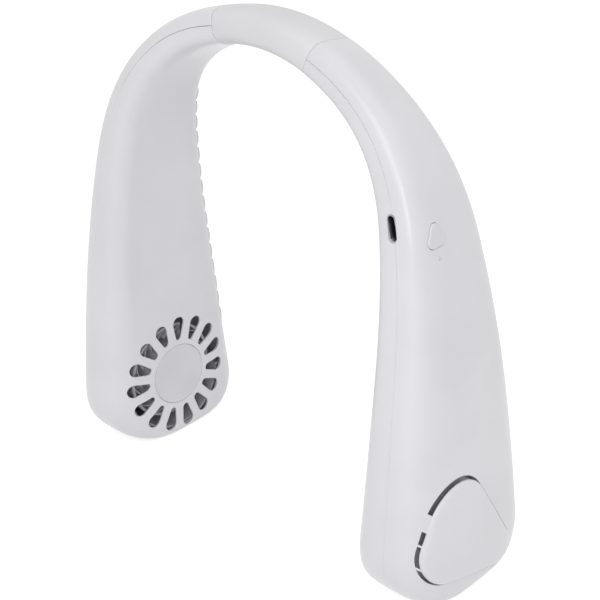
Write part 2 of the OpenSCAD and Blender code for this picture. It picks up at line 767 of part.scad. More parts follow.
// One slot lies in each valley between scallops, square to the skin
outlet_turn_share = 0.5;
outlet_run_share = 0.22;
module outlet_slot(d) {
    s = d / arm_len;
    a = strip_turns[0] + (strip_turns[1] - strip_turns[0]) * outlet_turn_share;
    q = inner_square;
    k = pow(pow(abs(cos(a)), q) + pow(sin(a), q), -1 / q);
    u = half_thickness(s, 0) * cos(a) * k;
    v = half_width(s, 1, 0) * sin(a) * k;
    run = outlet_run_share * half_thickness(s, 0);
    at_arm(d) translate([0, v, u]) rotate([-a, 0, 0]) {
        translate([-outlet_half, -run, -over]) cube([2 * outlet_half, 2 * run, 2 * over]);
        for (side = [-1, 1]) translate([0, side * run, 0]) rod(outlet_half, -over, over);
    }
}

// The cover stands on three posts in the pocket, and is tied to its rim by a tab and two thin ribs
cover_post_r = 1.6;
tie_turn = 138;
tab_w = 6.2;
rib_w = 1;
// How far the tab and the ribs pass beside the fan's axis
tab_aside = 6.1;
rib_asides = [14.1, 21.6];
module cover_tie(aside, width) {
    turned(tie_turn) translate([0, aside - width / 2, 0]) cube([beyond, width, beyond]);
}
module cover_post(out, turn) {
    y = out * cos(turn) - fan_back;
    s = fan_share - out * sin(turn) / arm_len;
    turned(turn) translate([out, 0, 0])
        rod(cover_post_r, floor_top + snug, skin_at(s, y, true, cover_t / 2 - cover_rise));
}
// Posts under the cover: distance from the fan's axis, and turn
cover_posts = [[15.4, 84], [15.6, 225], [22, -49.6]];
module cover_slab(low) {
    turns = steps(-70, 70, 12);
    rows = [for (inset = [low, low + cover_t])
        [for (s = to_sole(foot_from, inset, foot_rows)) ring(s, turns, inset)]];
    skin_solid(rows[0], rows[1]);
}
module intake_cover() {
    color(shell_grey) union() {
        intersection() {
            cover_slab(-cover_rise);
            at_fan() linear_extrude(height = beyond) cover_outline();
        }
        // The tab and the ribs lie flush with the shell, and pass under the cover
        intersection() {
            cover_slab(0);
            at_fan() pocket_block(0, -snug);
            at_fan() union() {
                cover_tie(tab_aside, tab_w);
                for (a = rib_asides) cover_tie(a, rib_w);
            }
        }
        at_fan() for (p = cover_posts) cover_post(p[0], p[1]);
    }
}

module grille_disc() {
    color(shell_grey) intersection() {
        grille_slab(0, disc_t);
        at_fan() rod(disc_r, -beyond, 0);
    }
}

// The duct: a ring round the wheel that opens upwards at the front, and a partition up the arm
duct_share = 0.385;
ring_mid = ring_r + duct_wall / 2;
duct_v = duct_share * half_width(1 - (fan_z + ring_r) / arm_len, 1, 0);
mouth_high = acos((duct_v + fan_back) / ring_mid);
mouth_low = -15;
duct_low = 1 - (fan_z + ring_mid * sin(mouth_high)) / arm_len;
duct_from = (strip_start - over) / arm_len;
lead_notch = 3;
lead_notch_turn = 73;
module air_duct() {
    color([0.70, 0.71, 0.73]) intersection() {
        foot_solid(duct_from - over / arm_len, wall + skin_clear, 12);
        difference() {
            union() {
                at_fan() turned(mouth_high) translate([0, 0, -beyond])
                    rotate_extrude(angle = 360 - (mouth_high - mouth_low))
                        translate([ring_r, 0]) square([duct_wall, 2 * beyond]);
                at_fan() turned(mouth_low) translate([ring_r + duct_wall / 2, -duct_wall, -beyond])
                    cube([beyond, duct_wall, 2 * beyond]);
                loft([for (s = steps(duct_from, duct_low, 14)) let (
                        f = frame_at(s),
                        v = duct_share * half_width(s, 1, 0))
                    [spot(f, beyond, v), spot(f, beyond, v + duct_wall),
                     spot(f, -beyond, v + duct_wall), spot(f, -beyond, v)]]);
                at_arm(duct_from * arm_len) translate([0, duct_share * half_width(duct_from, 1, 0), -beyond])
                    cube([duct_wall, beyond, 2 * beyond]);
            }
            at_fan() pocket_block(floor_low - slip, pocket_t + slip);
            at_fan() turned(lead_notch_turn) translate([0, -lead_notch / 2, -beyond])
                cube([beyond, lead_notch, beyond + wheel_low]);
        }
    }
}

// The fan wheel: curved blades between two rims, on a web with a skirt over the rotor cup
blade_sweep = 26;
blade_taper_share = 0.6;
function blade_outline() = let (n = 6, rows = [for (i = [0:n]) let (
        t = i / n,
        r = blade_in_r + (wheel_r - snug - blade_in_r) * t,
        a = -blade_sweep * t * t,
        h = blade_t / 2 * (1 - blade_taper_share * abs(2 * t - 1)) / r * 180 / PI) [r, a, h]])
    concat(
        [for (q = rows) q[0] * [cos(q[1] - q[2]), sin(q[1] - q[2])]],
        [for (i = [n:-1:0]) let (q = rows[i]) q[0] * [cos(q[1] + q[2]), sin(q[1] + q[2])]]);
module fan_wheel() {
    color([0.80, 0.81, 0.82]) difference() {
        union() {
            at_fan() rod(wheel_r, lid_top + snug, web_top);
            at_fan() pipe(cup_r + snug + skirt_t, cup_r + snug, cup_low + skirt_gap, web_top);
            at_fan() for (low = [wheel_low, wheel_high - rim_h])
                pipe(wheel_r, wheel_r - rim_w, low, low + rim_h);
            at_fan() for (i = [0:blade_count - 1]) rotate([0, 0, 360 * i / blade_count])
                translate([0, 0, wheel_low]) linear_extrude(height = wheel_len) polygon(blade_outline());
        }
        at_fan() rod(shaft_r + snug, lid_low, wheel_high);
    }
}
module rotor_cup() {
    color([0.62, 0.63, 0.65]) at_fan() difference() {
        union() {
            pipe(cup_r, cup_r - cup_t, cup_low, lid_top);
            rod(cup_r - cup_t / 2, lid_low, lid_top);
            rod(collar_r, collar_low, lid_top);
        }
        rod(shaft_r + press_clear, collar_low - over, lid_top + over);
    }
}
module rotor_magnet() {
    color([0.20, 0.20, 0.21]) at_fan()
        pipe(cup_r - cup_t - snug, cup_r - cup_t - snug - magnet_t, magnet_low, magnet_top);
}
module motor_shaft() {
    color([0.75, 0.75, 0.77]) at_fan() rod(shaft_r, shaft_low, web_top);
}
module motor_stator() {
    color([0.50, 0.50, 0.52]) at_fan() {
        top = stator_low + stator_len;
        pipe(core_r, boss_r + snug, stator_low, top);
        for (i = [0:tooth_count - 1]) rotate([0, 0, 360 * i / tooth_count]) {
            translate([core_r - tooth_w / 4, -tooth_w / 2, stator_low])
                cube([stator_r - shoe_t / 2 - core_r + tooth_w / 4, tooth_w, stator_len]);
            rotate([0, 0, -180 * shoe_share / tooth_count]) translate([0, 0, stator_low])
                rotate_extrude(angle = 360 * shoe_share / tooth_count)
                translate([stator_r - shoe_t, 0]) square([shoe_t, stator_len]);
        }
    }
}
coil_w = 2.7;
coil_end = sqrt(pow(stator_r - shoe_t, 2) - pow(coil_w / 2, 2));
module motor_windings() {
    color([0.72, 0.42, 0.22]) at_fan()
        for (i = [0:tooth_count - 1]) rotate([0, 0, 360 * i / tooth_count]) difference() {
            translate([core_r + snug, -coil_w / 2, coil_low])
                cube([coil_end - core_r - 2 * snug, coil_w, coil_top - coil_low]);
            translate([0, -tooth_w / 2 - snug, stator_low - snug])
                cube([cup_r, tooth_w + 2 * snug, stator_len + 2 * snug]);
        }
}
module motor_bearing() {
    color([0.78, 0.62, 0.32]) at_fan() pipe(bearing_r, shaft_r + shaft_clear, mount_top + snug, boss_top);
}
module motor_board() {
    color([0.10, 0.32, 0.20]) at_fan() difference() {
        pipe(motor_board_r, board_hole_r, motor_board_low, motor_board_top);
        for (a = [0, 120, 240]) rotate([0, 0, a]) translate([screw_circle_r, 0, 0])
            rod(screw_r + slip, -beyond, 0);
    }
}
module motor_screws() {
    color([0.70, 0.70, 0.72]) at_fan() for (a = [0, 120, 240]) rotate([0, 0, a])
        translate([screw_circle_r, 0, 0]) {
            rod(screw_r, motor_board_top - screw_len + snug, motor_board_top + snug);
            rod(screw_head_r, motor_board_top + snug / 2, motor_board_top + screw_head_h);
        }
}

// Routes of the leads: distance along the arm, height and place across
lead_r = 0.8;
lead_facets = 8;
// They pass the cell's edge at this distance
lead_gap = 2;
lead_side = cell_w / 2 - cell_back + lead_gap;
lead_start = [[190.9, -12.5, 4.4], [185.9, -12.3, 4.7], [178.9, -11.8, 5.4], [170, -10.5, 6.7],
    [160, -8.5, lead_side], [145, -7.5, lead_side], [128, -6.5, lead_side - 0.3]];
right_lead_route = concat(lead_start, [[118, -5, 4], [110, -2, 0], [105, 0, -3]]);
left_lead_route = concat(lead_start, [[110, -5, 4], [85, -3.5, 1], [65, -2.5, 0], [45.3, -1.7, 0]]);
// The bundle runs under the spring strip in the band
harness_u = -1.7;
harness_route = [[-45, harness_u, 0], [-32, harness_u, 0], [-17, harness_u, 0], [0, harness_u, 0],
    [18, harness_u, 0], [36, harness_u, 0], [52, -1.6, 0], [66, -1.2, -1], [76, -0.2, -2], [83, 0.4, -3]];
module motor_leads(route) {
    color([0.25, 0.25, 0.27]) lead(route, lead_r, lead_facets, 2);
}
module neck_harness() {
    color([0.16, 0.16, 0.17]) lead(harness_route, harness_r, lead_facets, 2);
}

// The battery cell is a pouch with round edges and a folded seal at its top
cell_round = 2.4;
seal_len = 3;
seal_t = 1.2;
module battery_cell() {
    color([0.72, 0.74, 0.77]) at_arm(cell_at) translate([0, -cell_back, -cell_in]) {
        rotate([0, 90, 0]) translate([0, 0, -cell_len / 2]) {
            translate([-cell_t / 2, cell_round - cell_w / 2, 0])
                cube([cell_t, cell_w - 2 * cell_round, cell_len]);
            translate([cell_round - cell_t / 2, -cell_w / 2, 0])
                cube([cell_t - 2 * cell_round, cell_w, cell_len]);
            for (i = [-1, 1], j = [-1, 1])
                translate([i * (cell_t / 2 - cell_round), j * (cell_w / 2 - cell_round), 0])
                    cylinder(r = cell_round, h = cell_len);
        }
        translate([-cell_len / 2 - seal_len, cell_round - cell_w / 2, -seal_t / 2])
            cube([seal_len + snug, cell_w - 2 * cell_round, seal_t]);
    }
}
pad_inset = 2.5;
module battery_pad() {
    color([0.18, 0.18, 0.19]) at_arm(cell_at) translate([0, -cell_back, 0])
        block(cell_len - 2 * pad_inset, cell_w - 2 * pad_inset, cell_low - pad_t, cell_low);
}

// The plug joins an arm to the sleeve: its body lies in the shells and its spigot in the sleeve
strip_u = 1.6;
module strap(from, to, grow) {
    loft([for (d = steps(from, to, 14)) let (
            f = frame_at(d / arm_len),
            u = strip_t / 2 + grow,
            v = strip_w / 2 + grow)
        [spot(f, strip_u + u, -v), spot(f, strip_u + u, v),
         spot(f, strip_u - u, v), spot(f, strip_u - u, -v)]]);
}
spring_in = 7;
module arm_plug(seam) {
    color([0.24, 0.24, 0.26]) difference() {
        union() {
            arm_solid((seam + seam_gap / 2) / arm_len, (seam + plug_len) / arm_len, wall + skin_clear, 3);
            arm_solid((seam - spigot_len) / arm_len, (seam + plug_len / 2) / arm_len, sleeve_wall + slip, 3);
        }
        strap(seam - spigot_len - over, seam + spring_in, slip / 2);
        lead([for (d = steps(seam - spigot_len - over, seam + plug_len + over, 4)) [d, harness_u, 0]],
            harness_r + 2 * slip, 12, 2);
    }
}
sleeve_inset = 0.15;
module neck_sleeve() {
    color([0.80, 0.80, 0.82]) difference() {
        arm_solid((seam_gap / 2 - band_left) / arm_len, (band_right - seam_gap / 2) / arm_len,
            sleeve_inset, 10);
        arm_solid((-over - band_left) / arm_len, (band_right + over) / arm_len, sleeve_wall, 10);
    }
}
module neck_spring() {
    color([0.66, 0.67, 0.69]) strap(-(band_left + spring_in - slip), band_right + spring_in - slip, 0);
}

module control_board() {
    color([0.08, 0.30, 0.18]) difference() {
        at_arm(button_at) translate([0, -board_back, 0]) block(board_len, board_w, board_low, board_top);
        at_board_screws() rod(board_screw_r + slip, 0, beyond);
    }
}
board_screw_head_r = 1.5;
module board_screws() {
    color([0.70, 0.70, 0.72]) at_board_screws() {
        rod(board_screw_r, board_top - board_screw_len + snug, board_top + snug);
        rod(board_screw_head_r, board_top + snug / 2, board_top + screw_head_h);
    }
}
chip_w = 5;
chip_h = 0.9;
coil_r = 2;
coil_h = 2;
connector_len = 2.5;
connector_w = 5;
connector_h = 3;
module board_parts() {
    color([0.12, 0.12, 0.13]) at_arm(button_at) {
        translate([-board_len / 4, 0, 0]) block(chip_w, chip_w, board_top + snug / 2, board_top + chip_h);
        translate([-board_len / 3, -board_w / 2, 0]) rod(coil_r, board_top + snug / 2, board_top + coil_h);
        translate([board_len / 3, -board_w / 2, 0])
            block(connector_len, connector_w, board_low - connector_h, board_low - snug / 2);
    }
}
usb_sheet = 0.3;
tongue_t = 0.7;
tongue_w = 6.7;
tongue_len = 5;
module usb_socket() {
    color([0.75, 0.76, 0.78]) at_usb() difference() {
        usb_stadium(0, usb_mouth, usb_mouth + usb_len);
        usb_stadium(-usb_sheet, usb_mouth - over, usb_mouth + usb_len - usb_sheet);
    }
    color([0.12, 0.12, 0.13]) at_usb()
        translate([-tongue_w / 2, usb_mouth + usb_len - usb_sheet - tongue_len, -tongue_t / 2])
        cube([tongue_w, tongue_len + usb_sheet / 2, tongue_t]);
}

// The button's stack, outwards from the board
switch_w = 4.6;
switch_h = 1.9;
stem_r = 1;
stem_h = 0.6;
stem_clear = 0.05;
switch_top = board_top + switch_h;
stem_top = switch_top + stem_h;
flange_grow = 0.7;
flange_h = 0.8;
button_share = button_at / arm_len;
button_flange = skin_at(button_share - button_spread / arm_len,
    -button_back - button_spread - button_corner - flange_grow, true, wall + 2 * slip);
plunger_r = 1.4;
button_reach = 4 * button_spread / arm_len;
module at_button() {
    at_arm(button_at) translate([0, -button_back, 0]) children();
}
module power_button() {
    color([0.84, 0.84, 0.87]) union() {
        intersection() {
            arm_solid(button_share - button_reach, button_share + button_reach, -button_rise, 4);
            at_button() translate([0, 0, button_flange - flange_h / 2]) linear_extrude(height = beyond)
                button_outline(0);
        }
        at_button() translate([0, 0, button_flange - flange_h]) linear_extrude(height = flange_h)
            button_outline(flange_grow);
        at_button() rod(plunger_r, stem_top + stem_clear, button_flange - flange_h / 2);
    }
}
module button_switch() {
    color([0.15, 0.15, 0.16]) at_button() difference() {
        block(switch_w, switch_w, board_top + snug / 2, switch_top);
        rod(stem_r + stem_clear, switch_top - stem_h - 2 * button_travel, switch_top + over);
    }
}
module switch_stem() {
    color([0.86, 0.84, 0.78]) at_button() rod(stem_r, switch_top - stem_h, stem_top);
}
led_w = 1.6;
led_h = 0.7;
module status_led() {
    color([0.92, 0.90, 0.80]) at_led()
        block(led_w, led_w, board_top + snug / 2, board_top + led_h);
}
module led_pipe() {
    drop = board_drop(led_below);
    top = skin_at(led_share, -button_back, true, 0) - drop;
    low = skin_at(led_share, -button_back - 2 * led_r, true, wall + skin_clear) - drop;
    color([0.88, 0.90, 0.92]) at_led() {
        rod(led_r, board_top + led_h + slip, top);
        rod(2 * led_r, board_top + led_h + slip, low);
    }
}

mirrored() outer_shell(band_left, false);  // left_outer_shell
mirrored() inner_shell(band_left, false);  // left_inner_shell
mirrored() outlet_strip();  // left_outlet_strip
mirrored() intake_cover();  // left_intake_cover
mirrored() grille_disc();  // left_grille_disc
mirrored() air_duct();  // left_air_duct
mirrored() fan_wheel();  // left_fan_wheel
mirrored() rotor_cup();  // left_rotor_cup
mirrored() rotor_magnet();  // left_rotor_magnet
mirrored() motor_shaft();  // left_motor_shaft
mirrored() motor_stator();  // left_motor_stator
mirrored() motor_windings();  // left_motor_windings
mirrored() motor_bearing();  // left_motor_bearing
mirrored() motor_board();  // left_motor_board
mirrored() motor_screws();  // left_motor_screws
mirrored() motor_leads(left_lead_route);  // left_motor_leads
mirrored() battery_cell();  // left_battery_cell
mirrored() battery_pad();  // left_battery_pad
mirrored() arm_plug(band_left);  // left_arm_plug
outer_shell(band_right, true);  // right_outer_shell
inner_shell(band_right, true);  // right_inner_shell
outlet_strip();  // right_outlet_strip
intake_cover();  // right_intake_cover
grille_disc();  // right_grille_disc
air_duct();  // right_air_duct
fan_wheel();  // right_fan_wheel
rotor_cup();  // right_rotor_cup
rotor_magnet();  // right_rotor_magnet
motor_shaft();  // right_motor_shaft
motor_stator();  // right_motor_stator
motor_windings();  // right_motor_windings
motor_bearing();  // right_motor_bearing
motor_board();  // right_motor_board
motor_screws();  // right_motor_screws
motor_leads(right_lead_route);  // right_motor_leads
battery_cell();  // right_battery_cell
battery_pad();  // right_battery_pad
arm_plug(band_right);  // right_arm_plug
neck_sleeve();
neck_spring();
neck_harness();
control_board();
board_parts();
board_screws();
usb_socket();
power_button();
button_switch();
switch_stem();
status_led();
led_pipe();
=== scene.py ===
import math

import bpy
import numpy as np
from mathutils import Matrix


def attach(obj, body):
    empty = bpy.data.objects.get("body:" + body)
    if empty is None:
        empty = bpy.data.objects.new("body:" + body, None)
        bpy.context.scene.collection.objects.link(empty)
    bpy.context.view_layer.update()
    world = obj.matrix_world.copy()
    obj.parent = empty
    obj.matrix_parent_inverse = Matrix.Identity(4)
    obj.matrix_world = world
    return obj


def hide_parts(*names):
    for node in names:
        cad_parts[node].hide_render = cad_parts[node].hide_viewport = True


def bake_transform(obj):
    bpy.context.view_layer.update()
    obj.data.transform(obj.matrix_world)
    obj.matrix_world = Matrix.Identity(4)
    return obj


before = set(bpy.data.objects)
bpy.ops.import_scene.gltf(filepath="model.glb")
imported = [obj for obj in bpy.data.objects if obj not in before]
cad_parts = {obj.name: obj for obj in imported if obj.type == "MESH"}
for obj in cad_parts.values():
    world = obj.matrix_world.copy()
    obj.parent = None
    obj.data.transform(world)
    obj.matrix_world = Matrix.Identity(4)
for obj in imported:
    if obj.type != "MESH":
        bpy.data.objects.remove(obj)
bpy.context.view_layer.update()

# Shapes are worked out in millimetres for the right arm and put into meshes in metres.
# The left arm mirrors the right one.
mm = 0.001
rightSide, leftSide = 1, -1
# The gap, in millimetres, between faces that lie on each other
slack = 0.05


def unit(vectors):
    # Each direction divided by its length
    return vectors / np.linalg.norm(vectors, axis=-1, keepdims=True)


def standAt(name, data, side, up, back, place):
    # A new camera or lamp with its own three directions, at a place in metres
    made = bpy.data.objects.new(name, data)
    bpy.context.scene.collection.objects.link(made)
    grid = np.eye(4)
    grid[:3] = np.stack([side, up, back, place], -1)
    made.matrix_world = Matrix(grid.tolist())
    return made


# Camera at the photograph's angle: position and target in millimetres, roll in radians
camera = {
    "position": (317.926, -310.701, 320.367),
    "target": (22.095, -11.915, 96.127),
    "roll": -0.03,
    "lens": 80.538,
}


def placeCamera(c):
    # Ahead is from the position to the target, and the two directions square to it are turned by the roll
    position = np.array(c["position"])
    ahead = unit(np.array(c["target"]) - position)
    side = unit(np.cross(ahead, (0, 0, 1)))
    up = np.cross(side, ahead)
    cosRoll, sinRoll = math.cos(c["roll"]), math.sin(c["roll"])
    side, up = cosRoll * side + sinRoll * up, -sinRoll * side + cosRoll * up
    data = bpy.data.cameras.new("camera")
    data.lens = c["lens"]
    data.sensor_width = 36
    data.clip_start, data.clip_end = 0.02, 20
    bpy.context.scene.camera = standAt("camera", data, side, up, -ahead, position * mm)


placeCamera(camera)
print("camera placed")


# The arm: its laws at five stations along its length, and its foot
arm = {
    "length": 230, "stations": (0, 0.2, 0.45, 0.72, 1), "slope": (0, 35, 80, 88, 90),
    "thickness": (13.6, 14.4, 20.2, 27.6, 36.4), "width": (22, 26, 41.6, 58, 69.8),
    "tilt": (7.5, 12, 5.7, 1.2, 0), "outerSquare": 3.6, "innerSquare": 3.4, "neckSquareShare": 0.86,
    "squareFrom": 0.5, "frontCorner": 19.5, "backCorner": 24.5, "frontReach": 0.92,
    "backReach": 1.04, "frontSquare": 2.5, "backSquare": 2.3, "soleEdge": 3.8, "splitRise": 2.2,
}
armLength = arm["length"]
stations = np.array(arm["stations"])


def law(share, values, first, last):
    # A cubic through the values at the stations. The slope at an inner station is the harmonic mean of the
    # straight slopes beside it, and the end slopes are shares of the straight ones.
    v = np.array(values, float)
    gaps = np.diff(stations)
    d = np.diff(v) / gaps
    flat = d[:-1] * d[1:] <= 0
    inner = np.where(flat, 0, 2 * d[:-1] * d[1:] / np.where(flat, 1, d[:-1] + d[1:]))
    slope = np.concatenate([[first * d[0]], inner, [last * d[-1]]])
    a = np.clip(np.abs(share), 0, 1)
    i = np.searchsorted(stations[1:-1], a, side="right")
    h = gaps[i]
    u = (a - stations[i]) / h
    return ((1 - u) ** 2 * ((1 + 2 * u) * v[i] + u * h * slope[i])
            + u * u * ((3 - 2 * u) * v[i + 1] + (u - 1) * h * slope[i + 1]))


# The centre line, by adding up short steps along the slope
pathCount = 1200
pathTurn = np.radians(law((np.arange(pathCount) + 0.5) / pathCount, arm["slope"], 1, 0))
pathShare = np.linspace(0, 1, pathCount + 1)
pathAcross = np.concatenate([[0], np.cumsum(np.cos(pathTurn))]) * armLength / pathCount
pathDrop = np.concatenate([[0], np.cumsum(np.sin(pathTurn))]) * armLength / pathCount
topHeight = pathDrop[-1]


def column(values):
    # Values made ready to multiply directions
    return values[..., None]


def frameAt(share):
    # Centre, outward direction and direction across, at a share of the length; under 0 is the left half
    share = np.asarray(share, float)
    a = np.clip(np.abs(share), 0, 1)
    h = np.radians(np.sign(share) * law(share, arm["slope"], 1, 0))
    k = np.radians(law(share, arm["tilt"], 0, 0))
    zero = np.zeros_like(h)
    centre = np.stack([np.sign(share) * np.interp(a, pathShare, pathAcross), zero,
                       topHeight - np.interp(a, pathShare, pathDrop)], -1)
    up = np.stack([np.sin(h), zero, np.cos(h)], -1)
    front = np.stack([zero, zero + 1, zero], -1)
    cosK, sinK = column(np.cos(k)), column(np.sin(k))
    return centre, cosK * up + sinK * front, cosK * front - sinK * up


def alongAt(share):
    # The direction along the arm: the cosine of its slope across and its sine downwards
    h = np.radians(np.sign(share) * law(share, arm["slope"], 1, 0))
    return np.stack([np.cos(h), np.zeros_like(h), -np.sin(h)], -1)


def halfThickness(share, inset):
    # Half the thickness less the inset. The sole's edge is a quarter circle: 1 - sqrt(1 - a^2).
    edge = arm["soleEdge"] - inset
    a = 1 - np.clip(((1 - np.abs(share)) * armLength - inset) / edge, 0, 1)
    return law(share, arm["thickness"], 0, 1) / 2 - inset - edge * (1 - np.sqrt(1 - a * a))


def halfWidth(share, front, inset):
    # Half the width less the inset. The foot's corners are squared quarter rounds: 1 - (1 - a^k)^(1/k).
    r = np.where(front, arm["frontCorner"], arm["backCorner"])
    reach = r * np.where(front, arm["frontReach"], arm["backReach"])
    k = np.where(front, arm["frontSquare"], arm["backSquare"])
    a = 1 - np.clip(((1 - np.abs(share)) * armLength - inset) / (reach - inset), 0, 1)
    return law(share, arm["width"], 0, 1) / 2 - inset - (r - inset) * (1 - (1 - a ** k) ** (1 / k))


def squareness(share, outward):
    # The superellipse's power, which grows from the neck as 3c^2 - 2c^3
    c = np.clip(np.abs(share) / arm["squareFrom"], 0, 1)
    full = np.where(outward, arm["outerSquare"], arm["innerSquare"])
    return full * (arm["neckSquareShare"] + (1 - arm["neckSquareShare"]) * c * c * (3 - 2 * c))


def ringPoints(share, turn, inset):
    # A superellipse in the arm's cross plane: turn 0 is outward and 90 the outlet edge
    share, turn, inset = np.broadcast_arrays(*(np.asarray(v, float) for v in (share, turn, inset)))
    c, n = np.cos(np.radians(turn)), np.sin(np.radians(turn))
    q = squareness(share, c > 0)
    k = (np.abs(c) ** q + np.abs(n) ** q) ** (-1 / q)
    centre, out, across = frameAt(share)
    return (centre + column(halfThickness(share, inset) * c * k) * out
            + column(halfWidth(share, n > 0, inset) * n * k) * across)


def splitTurn(share, inset, gap):
    # The turn at which a skin meets the parting line, or a line a little above or below it
    c = (arm["splitRise"] * np.abs(share) + gap) / halfThickness(share, inset)
    q = squareness(share, c > 0)
    return np.degrees(np.arctan2((1 - np.abs(c) ** q) ** (1 / q), c))


def shareOf(points, start=None):
    # The share of the length whose cross plane holds each point, from the nearest of some path points
    if start is None:
        few = np.arange(0, pathCount + 1, 8)
        gap = ((points[..., None, 0] - pathAcross[few]) ** 2
               + (points[..., None, 2] - topHeight + pathDrop[few]) ** 2)
        start = pathShare[few][np.argmin(gap, -1)]
    share = start
    for _ in range(4):
        away = points - frameAt(share)[0]
        share = np.clip(share + (away * alongAt(share)).sum(-1) / armLength, 0.0001, 1)
    return share


def skinLevel(points, inset=0, start=None):
    # The superellipse's size through each point, less 1: zero on the skin and negative under it
    share = shareOf(points, start)
    centre, out, across = frameAt(share)
    u, v = ((points - centre) * out).sum(-1), ((points - centre) * across).sum(-1)
    q = squareness(share, u > 0)
    return ((np.abs(u) / halfThickness(share, inset)) ** q
            + (np.abs(v) / halfWidth(share, v > 0, inset)) ** q) ** (1 / q) - 1


# How far apart, in millimetres, two levels are read for a slope
nudge = 0.01


def onSkin(points, direction, inset=0):
    # Moves points along a direction until they lie on the skin, by Newton's steps
    leastSlope, longestStep = 0.004, 4
    direction = np.asarray(direction, float)
    step = np.zeros(points.shape[:-1])
    for _ in range(10):
        moved = points + column(step) * direction
        start = shareOf(moved)
        level = skinLevel(moved, inset, start)
        slope = (skinLevel(moved + nudge * direction, inset, start) - level) / nudge
        step = step - np.clip(level / np.maximum(slope, leastSlope), -longestStep, longestStep)
    return points + column(step) * direction


def skinNormals(points):
    # The slope of the skin's level in space, with the depth under the skin
    start = shareOf(points)
    change = [skinLevel(points + n, 0, start) - skinLevel(points - n, 0, start) for n in nudge * np.eye(3)]
    slope = np.stack(change, -1) / (2 * nudge)
    size = np.linalg.norm(slope, axis=-1, keepdims=True) + 1e-9
    return slope / size, -skinLevel(points, 0, start) / size[..., 0]


# Meshes from arrays
def gridFaces(rows, columns, first=0, closed=False):
    # Faces with four corners between neighbouring rows of points
    i = np.arange(rows - 1)[:, None] * columns
    j = np.arange(columns if closed else columns - 1)[None]
    k = (j + 1) % columns
    corners = np.broadcast_arrays(i + j, i + k, i + columns + k, i + columns + j)
    return (first + np.stack(corners, -1)).reshape(-1, 4)


def signedVolume(points, faces):
    # Six times the volume: each triangle's first corner times the cross product of the others
    total = 0
    for face in faces:
        first = points[face[:, 0]]
        for k in range(1, face.shape[1] - 1):
            total += np.einsum("ij,ij->", first, np.cross(points[face[:, k]], points[face[:, k + 1]]))
    return total


def makeMesh(name, points, faces, turnOut=True):
    # Faces are arrays with one row for each polygon. A solid that is inside out is turned.
    points = np.asarray(points, float).reshape(-1, 3)
    faces = [np.asarray(f) for f in faces]
    if turnOut and signedVolume(points, faces) < 0:
        faces = [f[:, ::-1] for f in faces]
    mesh = bpy.data.meshes.new(name)
    corners = np.concatenate([f.ravel() for f in faces]).astype(np.int32)
    sizes = np.concatenate([np.full(len(f), f.shape[1]) for f in faces])
    mesh.vertices.add(len(points))
    mesh.vertices.foreach_set("co", points.ravel().astype(np.float32))
    mesh.loops.add(len(corners))
    mesh.loops.foreach_set("vertex_index", corners)
    mesh.polygons.add(len(sizes))
    mesh.polygons.foreach_set("loop_start", np.concatenate([[0], np.cumsum(sizes)[:-1]]).astype(np.int32))
    mesh.update(calc_edges=True)
    mesh.validate()
    return mesh


def makeObject(mesh):
    # Puts a mesh into the scene under its own name
    made = bpy.data.objects.new(mesh.name, mesh)
    bpy.context.scene.collection.objects.link(made)
    return made


def loftSolid(rows):
    # A closed solid through equal rings of points, with flat ends
    rows = np.asarray(rows, float)
    n, m = rows.shape[:2]
    faces = [gridFaces(n, m, closed=True), np.arange(m)[None, ::-1], (n - 1) * m + np.arange(m)[None]]
    return rows.reshape(-1, 3), faces


def skinSolid(outer, inner):
    # A closed solid between two grids of equal size. Its last faces are those along the last row.
    n, m = outer.shape[:2]
    k, e = n * m, (n - 1) * m
    i, j = np.arange(n - 1) * m, np.arange(m - 1)
    r = i + m - 1
    sides = ((k + i, i, i + m, k + i + m), (r, k + r, k + r + m, r + m),
             (j, k + j, k + j + 1, j + 1), (e + j, e + j + 1, k + e + j + 1, k + e + j))
    faces = [gridFaces(n, m), gridFaces(n, m, k)[:, ::-1]] + [np.stack(side, -1) for side in sides]
    return np.concatenate([outer.reshape(-1, 3), inner.reshape(-1, 3)]), faces


def together(parts):
    # Several solids as one set of points and faces
    points, faces, count = [], [], 0
    for p, f in parts:
        if signedVolume(p, f) < 0:
            f = [g[:, ::-1] for g in f]
        points.append(p)
        faces += [g + count for g in f]
        count += len(p)
    return np.concatenate(points), faces


def carve(name, body, steps):
    # Adds and cuts solids in order: each step is "UNION", "DIFFERENCE" or "INTERSECT" and a solid
    holder = makeObject(makeMesh(name, *body))
    tools = []
    for k, (operation, solid) in enumerate(steps):
        tool = makeObject(makeMesh(f"{name}Tool{k}", *solid))
        tools.append(tool)
        cut = holder.modifiers.new(f"step{k}", "BOOLEAN")
        cut.operation, cut.object, cut.solver = operation, tool, "MANIFOLD"
    graph = bpy.context.evaluated_depsgraph_get()
    mesh = bpy.data.meshes.new_from_object(holder.evaluated_get(graph))
    mesh.name = name
    for done in tools + [holder]:
        old = done.data
        bpy.data.objects.remove(done)
        bpy.data.meshes.remove(old)
    return mesh


def pulled(items, name, wide=1, kind=np.float32):
    # A value, or a row of values, of each of a mesh's items
    values = np.empty(len(items) * wide, kind)
    items.foreach_get(name, values)
    return values.reshape(-1, wide).astype(float) if wide > 1 else values


